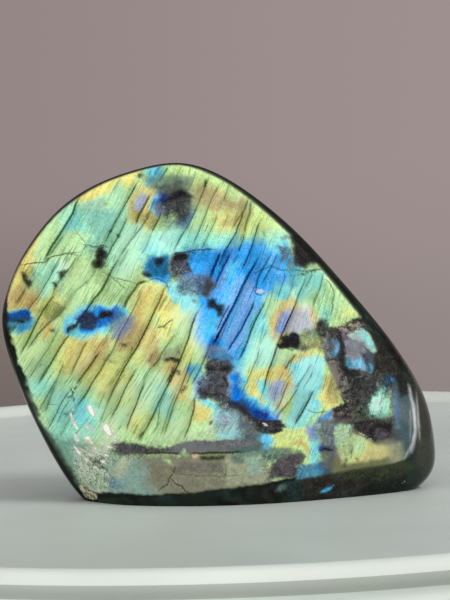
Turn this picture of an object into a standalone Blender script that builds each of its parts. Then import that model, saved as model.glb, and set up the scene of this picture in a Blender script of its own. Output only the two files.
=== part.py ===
"""A polished labradorite freeform that stands on a sawn flat base.

The stone is one closed body. A coarse cage of points is smoothed into its rolled form, and a
flat cut then makes the base. Its polished face looks towards -Y, +X is its width and +Z is up.
The lists below are in millimetres, and the model is in metres.
"""
import math

import bmesh
import bpy
from mathutils import Vector

MM = 0.001
STONE_NAME = "labradorite_stone"

# The cage has a square grid of quads on the face and on the back, and strips between them.
GRID_STEPS = 6
SIDE_STEPS = 5
SMOOTH_LEVELS = 2

# The outline seen from the front, as x and z. It starts at the lower left corner, runs along the
# underside, then up the right side, over the top and down the left side. The points below the
# base lie in the rock that the saw takes away.
OUTLINE = (
    (-38.5, 1.6), (-28.0, -5.0), (-12.0, -7.0), (4.0, -7.5), (20.0, -7.0), (36.0, -6.0),
    (52.6, 1.2), (55.8, 11.5), (53.7, 23.0), (48.2, 34.2), (40.6, 45.0), (31.8, 56.0),
    (22.8, 66.5), (13.2, 75.6), (2.5, 83.3), (-8.5, 87.1), (-20.1, 85.7), (-31.2, 81.9),
    (-41.5, 75.0), (-50.2, 64.3), (-54.6, 55.0), (-56.1, 45.5), (-52.6, 31.0), (-46.6, 16.0),
)

# The rim of the polished face, as x, y and z, with a point for each point of the outline.
FACE_RIM = (
    (-36.8, -2.5, 2.2), (-26.5, -11.0, 1.9), (-12.0, -17.2, 3.1), (3.0, -19.4, 4.6),
    (18.0, -17.4, 5.8), (33.0, -12.4, 7.4), (46.6, -7.0, 8.6), (50.4, -6.0, 13.5),
    (50.4, -5.5, 23.0), (46.0, -5.5, 33.0), (38.9, -5.5, 43.7), (30.3, -5.5, 54.6),
    (21.6, -5.5, 65.2), (12.3, -5.5, 74.4), (2.0, -5.5, 82.2), (-8.5, -5.5, 86.3),
    (-19.8, -5.5, 84.8), (-30.6, -5.3, 80.9), (-40.6, -5.0, 74.1), (-49.1, -5.0, 63.7),
    (-53.3, -5.0, 54.7), (-54.8, -4.8, 45.5), (-51.2, -4.5, 31.4), (-45.0, -4.0, 16.6),
)

# The rim of the back: how far it lies inside the outline, and its y, at each corner and at each
# middle of a side, in the order of the outline.
BACK_RIM = (
    (4.5, 11.0), (11.0, 15.0), (7.0, 12.0), (5.5, 11.0), (5.0, 9.5), (4.5, 8.5), (5.0, 8.5), (4.5, 9.5),
)

# The tops of the two domes, as x, y and z. The face swells towards -Y and the back towards +Y.
FACE_TOP = (2.0, -21.8, 33.0)
BACK_TOP = (-2.0, 18.0, 36.0)

# The wall between the two rims: each ring's share of the way from rim to rim in y, and its share
# of the way from the nearer rim out to the outline.
WALL_DEPTHS = (0.0, 0.08, 0.36, 0.66, 0.92, 1.0)
WALL_REACHES = (0.0, 0.65, 1.0, 0.97, 0.6, 0.0)

# The face's rim and the rings up to the widest one follow their points exactly. The rings behind
# them only lean on theirs, which keeps the back smooth.
EXACT_RINGS = 4

# How sharp the rims are, from 0, round, to 1, sharp. The face has one value for each of its
# lower, right, upper and left sides, and its lower edge is the crispest.
FACE_CREASES = (0.8, 0.4, 0.5, 0.5)
BACK_CREASE = 0.3

# The saw takes away all that lies below the base.
SAW_WIDTH = 200.0
SAW_HEIGHT = 40.0

STONE_COLOUR = (0.36, 0.52, 0.42, 1.0)
STONE_ROUGHNESS = 0.12


def clear_scene():
    for item in list(bpy.data.objects):
        bpy.data.objects.remove(item)


def new_collection(name):
    collection = bpy.data.collections.new(name)
    bpy.context.scene.collection.children.link(collection)
    return collection


def cage_points_for(targets):
    """Return ring points whose smooth curve passes through the targets."""
    points = [target.copy() for target in targets]
    count = len(points)
    for _ in range(12):
        curve = [(points[k - 1] + 4 * points[k] + points[(k + 1) % count]) / 6 for k in range(count)]
        for point, target, reached in zip(points, targets, curve):
            point += target - reached
    return points


def back_rim_points(outline):
    """Return the back's rim, inside the outline by a smoothly changing inset."""
    count = len(outline)
    span = count // len(BACK_RIM)
    rim = []
    for k, point in enumerate(outline):
        index, part = divmod(k, span)
        blend = part / span
        inset_a, depth_a = BACK_RIM[index]
        inset_b, depth_b = BACK_RIM[(index + 1) % len(BACK_RIM)]
        inset = inset_a + (inset_b - inset_a) * blend
        depth = depth_a + (depth_b - depth_a) * blend
        along = outline[(k + 1) % count] - outline[k - 1]
        inward = Vector((-along.z, 0.0, along.x)).normalized()
        rim.append(Vector((point.x + inward.x * inset, depth, point.z + inward.z * inset)))
    return rim


def wall_rings():
    """Return the rings of cage points from the face's rim to the back's rim."""
    outline = [Vector((x, 0.0, z)) for x, z in OUTLINE]
    face_rim = [Vector(point) for point in FACE_RIM]
    back_rim = back_rim_points(outline)
    rings = []
    for step in range(SIDE_STEPS + 1):
        depth = WALL_DEPTHS[step]
        reach = WALL_REACHES[step]
        near_rim = face_rim if step <= SIDE_STEPS // 2 else back_rim
        ring = []
        for edge, front, back, rim in zip(outline, face_rim, back_rim, near_rim):
            point = rim.lerp(edge, reach)
            point.y = front.y + (back.y - front.y) * depth
            ring.append(point)
        rings.append(cage_points_for(ring) if step < EXACT_RINGS else ring)
    return rings


def column_at(u, v):
    """Return the column, whole or between two, of a point on the border of the square -1 to 1."""
    side = GRID_STEPS / 2
    if v == -1:
        return side * (1 + u)
    if u == 1:
        return side * (3 + v)
    if v == 1:
        return side * (5 - u)
    return side * (7 - v)


def point_on(ring, column):
    """Return a point of a ring, at a column or between two."""
    first = math.floor(column)
    return ring[first % len(ring)].lerp(ring[(first + 1) % len(ring)], column - first)


def dome_point(ring, top, u, v):
    """Return a point of the dome that rises from a ring to its top."""
    share = max(abs(u), abs(v))
    if share == 0:
        return top.copy()
    rim = point_on(ring, column_at(u / share, v / share))
    point = top.lerp(rim, share)
    point.y = top.y + (rim.y - top.y) * share ** 2
    return point


def make_cage():
    """Return a mesh of the stone's cage, a box of quads whose points are moved into place."""
    rings = wall_rings()
    cage = bmesh.new()
    bmesh.ops.create_cube(cage, size=2.0)
    for axis, steps in ((0, GRID_STEPS), (1, SIDE_STEPS), (2, GRID_STEPS)):
        along = [e for e in cage.edges if abs(e.verts[0].co[axis] - e.verts[1].co[axis]) > 1.0]
        bmesh.ops.subdivide_edges(cage, edges=along, cuts=steps - 1, use_grid_fill=True)

    set_creases(cage)
    for vertex in cage.verts:
        u, depth, v = (round(place, 4) for place in vertex.co)
        if max(abs(u), abs(v)) == 1:
            step = round((depth + 1) / 2 * SIDE_STEPS)
            point = point_on(rings[step], column_at(u, v))
        elif depth < 0:
            point = dome_point(rings[0], Vector(FACE_TOP), u, v)
        else:
            point = dome_point(rings[SIDE_STEPS], Vector(BACK_TOP), u, v)
        vertex.co = point * MM

    mesh = bpy.data.meshes.new(STONE_NAME)
    cage.to_mesh(mesh)
    cage.free()
    mesh.shade_smooth()
    return mesh


def set_creases(cage):
    """Sharpen the rims of the face and of the back, while the cage is still a box from -1 to 1."""
    crease = cage.edges.layers.float.new("crease_edge")
    face_sides = ((2, -1.0), (0, 1.0), (2, 1.0), (0, -1.0))
    for edge in cage.edges:
        ends = [vertex.co for vertex in edge.verts]
        for (axis, side), sharpness in zip(face_sides, FACE_CREASES):
            if any(abs(end[axis] - side) > 0.001 for end in ends):
                continue
            if all(end.y < -0.999 for end in ends):
                edge[crease] = sharpness
            elif all(end.y > 0.999 for end in ends):
                edge[crease] = BACK_CREASE


def make_saw(collection):
    """Return the block that cuts the base flat."""
    mesh = bpy.data.meshes.new("saw_block")
    block = bmesh.new()
    bmesh.ops.create_cube(block, size=1.0)
    for vertex in block.verts:
        vertex.co.x *= SAW_WIDTH * MM
        vertex.co.y *= SAW_WIDTH * MM
        vertex.co.z = (vertex.co.z - 0.5) * SAW_HEIGHT * MM
    block.to_mesh(mesh)
    block.free()
    saw = bpy.data.objects.new("saw_block", mesh)
    saw.hide_render = True
    saw.display_type = "WIRE"
    collection.objects.link(saw)
    return saw


def stone_material():
    material = bpy.data.materials.new("polished_labradorite")
    material.use_nodes = True
    shader = material.node_tree.nodes["Principled BSDF"]
    shader.inputs["Base Color"].default_value = STONE_COLOUR
    shader.inputs["Roughness"].default_value = STONE_ROUGHNESS
    shader.inputs["Metallic"].default_value = 0.0
    return material


def make_stone(collection, saw):
    stone = bpy.data.objects.new(STONE_NAME, make_cage())
    stone.data.materials.append(stone_material())
    collection.objects.link(stone)
    smooth = stone.modifiers.new("smooth", "SUBSURF")
    smooth.levels = SMOOTH_LEVELS
    smooth.render_levels = SMOOTH_LEVELS
    base_cut = stone.modifiers.new("base_cut", "BOOLEAN")
    base_cut.operation = "DIFFERENCE"
    base_cut.object = saw
    base_cut.solver = "EXACT"
    return stone


def centre_over_origin(stone):
    """Move the stone sideways so that the middle of its box stands over the origin."""
    graph = bpy.context.evaluated_depsgraph_get()
    corners = [Vector(corner) for corner in stone.evaluated_get(graph).bound_box]
    for axis in (0, 1):
        low = min(corner[axis] for corner in corners)
        high = max(corner[axis] for corner in corners)
        stone.location[axis] = -(low + high) / 2


def main():
    clear_scene()
    saw = make_saw(new_collection("labradorite_cutters"))
    stone = make_stone(new_collection("labradorite_freeform"), saw)
    centre_over_origin(stone)


main()
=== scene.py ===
import math

import bmesh
import bpy
import numpy as np
from mathutils import Matrix, Vector, noise


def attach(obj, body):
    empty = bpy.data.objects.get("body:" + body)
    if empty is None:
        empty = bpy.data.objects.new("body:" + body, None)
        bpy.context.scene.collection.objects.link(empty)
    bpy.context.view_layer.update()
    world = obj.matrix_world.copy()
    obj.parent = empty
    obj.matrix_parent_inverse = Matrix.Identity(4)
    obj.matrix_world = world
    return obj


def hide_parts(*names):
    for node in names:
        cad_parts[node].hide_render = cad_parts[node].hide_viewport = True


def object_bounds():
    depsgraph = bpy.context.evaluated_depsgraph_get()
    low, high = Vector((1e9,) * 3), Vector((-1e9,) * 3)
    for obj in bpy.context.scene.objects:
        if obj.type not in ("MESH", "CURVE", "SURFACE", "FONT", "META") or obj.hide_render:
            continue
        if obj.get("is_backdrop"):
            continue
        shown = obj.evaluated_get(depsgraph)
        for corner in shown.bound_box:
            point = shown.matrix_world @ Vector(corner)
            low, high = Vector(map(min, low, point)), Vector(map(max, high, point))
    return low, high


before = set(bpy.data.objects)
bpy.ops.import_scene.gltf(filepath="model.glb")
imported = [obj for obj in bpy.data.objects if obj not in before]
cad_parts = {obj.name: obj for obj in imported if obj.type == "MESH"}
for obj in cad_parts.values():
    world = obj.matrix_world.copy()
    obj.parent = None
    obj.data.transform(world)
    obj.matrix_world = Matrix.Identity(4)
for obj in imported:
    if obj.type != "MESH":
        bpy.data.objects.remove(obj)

cad_low, cad_high = (tuple(corner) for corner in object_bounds())

MM = 0.001
NODE_NAME = "labradorite_stone"

# The noise that moves the borders of the marks has a fixed seed, so that every run is alike.
NOISE_SEED = 2

# The cage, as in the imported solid: its grid, outline, rims, domes and wall, in millimetres.
GRID_STEPS = 6
SIDE_STEPS = 5
FINE_LEVELS = 4
OUTLINE = (
    (-38.5, 1.6), (-28.0, -5.0), (-12.0, -7.0), (4.0, -7.5), (20.0, -7.0), (36.0, -6.0),
    (52.6, 1.2), (55.8, 11.5), (53.7, 23.0), (48.2, 34.2), (40.6, 45.0), (31.8, 56.0),
    (22.8, 66.5), (13.2, 75.6), (2.5, 83.3), (-8.5, 87.1), (-20.1, 85.7), (-31.2, 81.9),
    (-41.5, 75.0), (-50.2, 64.3), (-54.6, 55.0), (-56.1, 45.5), (-52.6, 31.0), (-46.6, 16.0),
)
FACE_RIM = (
    (-36.8, -2.5, 2.2), (-26.5, -11.0, 1.9), (-12.0, -17.2, 3.1), (3.0, -19.4, 4.6),
    (18.0, -17.4, 5.8), (33.0, -12.4, 7.4), (46.6, -7.0, 8.6), (50.4, -6.0, 13.5),
    (50.4, -5.5, 23.0), (46.0, -5.5, 33.0), (38.9, -5.5, 43.7), (30.3, -5.5, 54.6),
    (21.6, -5.5, 65.2), (12.3, -5.5, 74.4), (2.0, -5.5, 82.2), (-8.5, -5.5, 86.3),
    (-19.8, -5.5, 84.8), (-30.6, -5.3, 80.9), (-40.6, -5.0, 74.1), (-49.1, -5.0, 63.7),
    (-53.3, -5.0, 54.7), (-54.8, -4.8, 45.5), (-51.2, -4.5, 31.4), (-45.0, -4.0, 16.6),
)
BACK_RIM = (
    (4.5, 11.0), (11.0, 15.0), (7.0, 12.0), (5.5, 11.0), (5.0, 9.5), (4.5, 8.5), (5.0, 8.5), (4.5, 9.5),
)
FACE_TOP = (2.0, -21.8, 33.0)
BACK_TOP = (-2.0, 18.0, 36.0)
WALL_DEPTHS = (0.0, 0.08, 0.36, 0.66, 0.92, 1.0)
WALL_REACHES = (0.0, 0.65, 1.0, 0.97, 0.6, 0.0)
EXACT_RINGS = 4
FACE_CREASES = (0.8, 0.4, 0.5, 0.5)
BACK_CREASE = 0.3

# The camera stands level with the top of the stone and looks down on it a little.
EYE = (2.2, -596.8, 94.0)
CAMERA_PITCH = 4.1
CAMERA_ROLL = 1.94
CAMERA_LENS = 138.5

# The plain mauve-grey surround, as linear colours: its left and right low down, and high up.
# Its left low down is darker: painted shade.
SURROUND_COLOURS = (
    ((0.165, 0.134, 0.122, 1.0), (0.285, 0.240, 0.232, 1.0)),
    ((0.300, 0.243, 0.236, 1.0), (0.340, 0.279, 0.274, 1.0)),
)
SURROUND_DARK = (0.045, 0.052, 0.045, 1.0)

# The lamps: name, place, width, height, power, colour, and whether the polish mirrors them. Only
# the narrow strip does, so that the face keeps its colours.
LAMP_TARGET = (0.0, 0.0, 42.0)
WHITE = (1.0, 1.0, 1.0)
LAMPS = (
    ("key_lamp", (1000.0, -640.0, 1240.0), 420.0, 420.0, 12.7, (1.0, 0.985, 0.96), False),
    ("front_lamp", (-400.0, -1400.0, 250.0), 1000.0, 700.0, 9.0, WHITE, False),
    ("top_lamp", (-100.0, -450.0, 1300.0), 1300.0, 900.0, 4.7, WHITE, False),
    ("left_lamp", (-1200.0, -800.0, 200.0), 900.0, 900.0, 6.5, (0.96, 0.98, 1.0), False),
    ("back_lamp", (200.0, 1300.0, 500.0), 1000.0, 800.0, 7.0, WHITE, False),
    ("strip_lamp", (620.0, -330.0, 260.0), 40.0, 620.0, 0.6, WHITE, True),
)

# The round plate: where its middle stands, its profile as radius and height, where its lip starts
# and ends, and the colour and roughness of its top, lip and side.
PLATE_STEPS = 160
PLATE_MIDDLE = (1.5, 45.8)
PLATE_PROFILE = (
    (155.2, 0.0), (157.7, 0.5), (159.2, 2.0), (160.7, 3.2), (163.2, 3.5), (165.2, 2.6), (166.2, 0.5),
    (166.6, -1.8), (165.2, -2.8), (165.2, -4.8), (174.0, -5.6), (178.0, -6.6), (180.0, -9.6), (180.5, -24.0),
)
LIP_START, LIP_END = 157.0, 165.7
PLATE_LOOKS = (
    ("plate_top", (0.54, 0.60, 0.58), 0.5),
    ("plate_lip", (0.62, 0.69, 0.64), 0.45),
    ("plate_side", (0.36, 0.40, 0.36), 0.5),
)

# The colours of the flash in their natural order, as places on one scale.
NAVY, BLUE, SKY, CYAN, AQUA, GREEN = 0.08, 0.18, 0.26, 0.34, 0.42, 0.50
LIME, YELLOW, GOLD, TAN, LILAC, VIOLET = 0.58, 0.66, 0.74, 0.82, 0.90, 0.98
FLASH_COLOURS = (
    (0.00, (26, 32, 76)), (NAVY, (14, 54, 148)), (BLUE, (6, 146, 252)), (SKY, (62, 190, 252)),
    (CYAN, (120, 222, 240)), (AQUA, (148, 232, 214)), (GREEN, (186, 236, 180)),
    (LIME, (208, 236, 152)), (YELLOW, (234, 230, 136)), (GOLD, (214, 198, 122)),
    (TAN, (178, 156, 118)), (LILAC, (152, 162, 184)), (VIOLET, (124, 158, 214)),
)
PLAIN_HUE = 0.53

# The stone where it doesn't flash.
BLACK, DARK_GREEN, CHARCOAL = (10, 12, 9), (20, 32, 25), (38, 37, 38)
SEA_GREEN, SMOKE, OLIVE, TEAL_GREY = (30, 52, 46), (64, 68, 70), (116, 118, 96), (118, 148, 136)
RIGHT_WALL = (48, 49, 43)
# The colour of the painted highlights on the rolled edge to the right of the face.
ROLL_HIGHLIGHT_COLOUR = (214, 218, 214)

# The veins between grains, the tint and the light of the grains, the cracks, the palest flash, and
# the darker and lighter parts of inclusions, of flecks and painted glints, and of the broken corner.
VEIN_COLOUR, GRAIN_TINT, GRAIN_LIGHT = (20, 19, 20), (60, 92, 116), (160, 160, 156)
CRACK_COLOUR, PALE_FLASH = (34, 36, 20), (240, 246, 236)
INCLUSION_COLOURS = ((17, 17, 18), (66, 62, 64))
FLECK_AND_GLINT_COLOURS = ((206, 200, 190), (250, 248, 244))
BROKEN_COLOURS = ((92, 90, 60), (206, 204, 176))

# The roughness of the polish, and how strongly it mirrors.
POLISH = 0.085
SPECULAR_LEVEL = 0.14

# The way along the cleavage in x and z, a distance beyond all others in millimetres, and how far
# from a line its offset is kept, in half widths.
CLEAVAGE_WAY = (0.47, 0.88)
FAR = 1e9
MOST_HALF_WIDTHS = 9.0

# A thin flake broken off the lower left corner, as corners in x and z, and how deep it is.
CHIP = ((-38.4, 4.6), (-36.2, 5.4), (-34.8, 3.4), (-32.4, 2.2), (-32.6, 0.2), (-36.4, 0.0))
CHIP_DEPTH = 0.7


def oval(value, x, z, long, short=None, tilt=62, soft=1, most=1):
    """A mark with its value inside an oval, whose half lengths, tilt and soft edge are given."""
    return value, (x, z, long, short or long, tilt), soft, most


def patch(value, *corners, soft=0.8, most=1):
    """A mark with its value inside an outline of corners."""
    return value, corners, soft, most


def ovals(value, *shapes):
    """Ovals of one value, each given by its x, z, half lengths and tilt."""
    return [oval(value, *shape) for shape in shapes]


# Outlines that more than one list uses, named by what lies there.
TEAL_SPOT = ((-18.2, 61), (-15.8, 63.7), (-11, 64), (-11.4, 57.2), (-16.6, 58.4))
LEFT_BLOT = ((-55.6, 50.6), (-48.2, 50.6), (-46, 48.4), (-48.4, 45), (-55, 45))
AQUA_FIELD = ((-27, 66), (-22, 70.6), (-17, 70.4), (-17.4, 64.6), (-20.4, 60), (-25.4, 58.6))
LEFT_FIELD = ((-54, 43), (-44.4, 41.6), (-45.6, 33), (-50.6, 33.4))
TOP_HAZE = ((-18.6, 84.2), (-12, 84.6), (-4.8, 83.8), (-5.4, 80.8), (-15, 80.2))
MOTTLED_GREY = ((-10.2, 58.4), (-1.6, 59.6), (0, 57), (-0.6, 54), (-4.4, 52.8), (-9.6, 54.4))
BLUE_GREY_SIDE = ((-6, 29.6), (-4.2, 34.6), (-2.2, 35), (-2.2, 28), (-5.2, 27.8))
DARK_LEG = ((-3.1, 35.6), (-2.7, 37.2), (1, 37.8), (3.8, 36.4), (2.2, 33), (2.1, 30), (3.6, 27.6),
    (1, 27.4), (-4.2, 28), (-5.2, 30), (-3, 32.2))
PALE_FOOT = ((-1, 26), (2, 26), (6.4, 21.6), (6.6, 16.6), (-3.6, 16.8), (-2, 21))
GREY_FOOT = ((3, 24.6), (8.6, 20.8), (9.4, 18.6), (10.6, 17.6), (9.6, 14.8), (4.6, 15.4), (5.4, 19.6))
LOWER_LEFT_HAZE = ((-48, 19), (-34, 17), (-27, 14.6), (-30, 1), (-42, 1))
LOWER_BLUE = ((18.8, 9.6), (27.8, 10.6), (28.6, 4.8), (18.6, 4.4))
LOWER_GREY = ((24.8, 12.6), (28.4, 12.8), (29.6, 8.6), (25.4, 8))
DARK_TEAL = ((41.4, 30.6), (44, 31.4), (46.6, 30), (46.2, 27.6), (43.2, 28.6), (41, 28.2))
LOWER_LEFT_EDGE = ((-49.4, 29.6), (-44.8, 19.2), (-36.4, 2.6), (-42, 1), (-54, 28))
LOWER_EDGE = ((-38, 2.6), (-30, 3.1), (-20, 3.1), (-12, 3.5), (-4, 4.3), (2, 4.7), (14, 6), (19, 6.7),
    (19, 0), (-38, 0))
GREY_PATCH = ((15.6, 66), (20, 66), (20.4, 60.6), (16, 61))
DARK_GRAIN = ((-11.3, 65), (-5.8, 65), (-5, 58.8), (-11.4, 57.8))
DARK_FOOT = ((0, 28.6), (9, 22), (17, 22), (17, 17.6), (9, 17.4), (-1, 25))
PLAIN_STRIP = ((-29, 12.4), (11, 13), (14, 2), (-30, 0))

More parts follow.
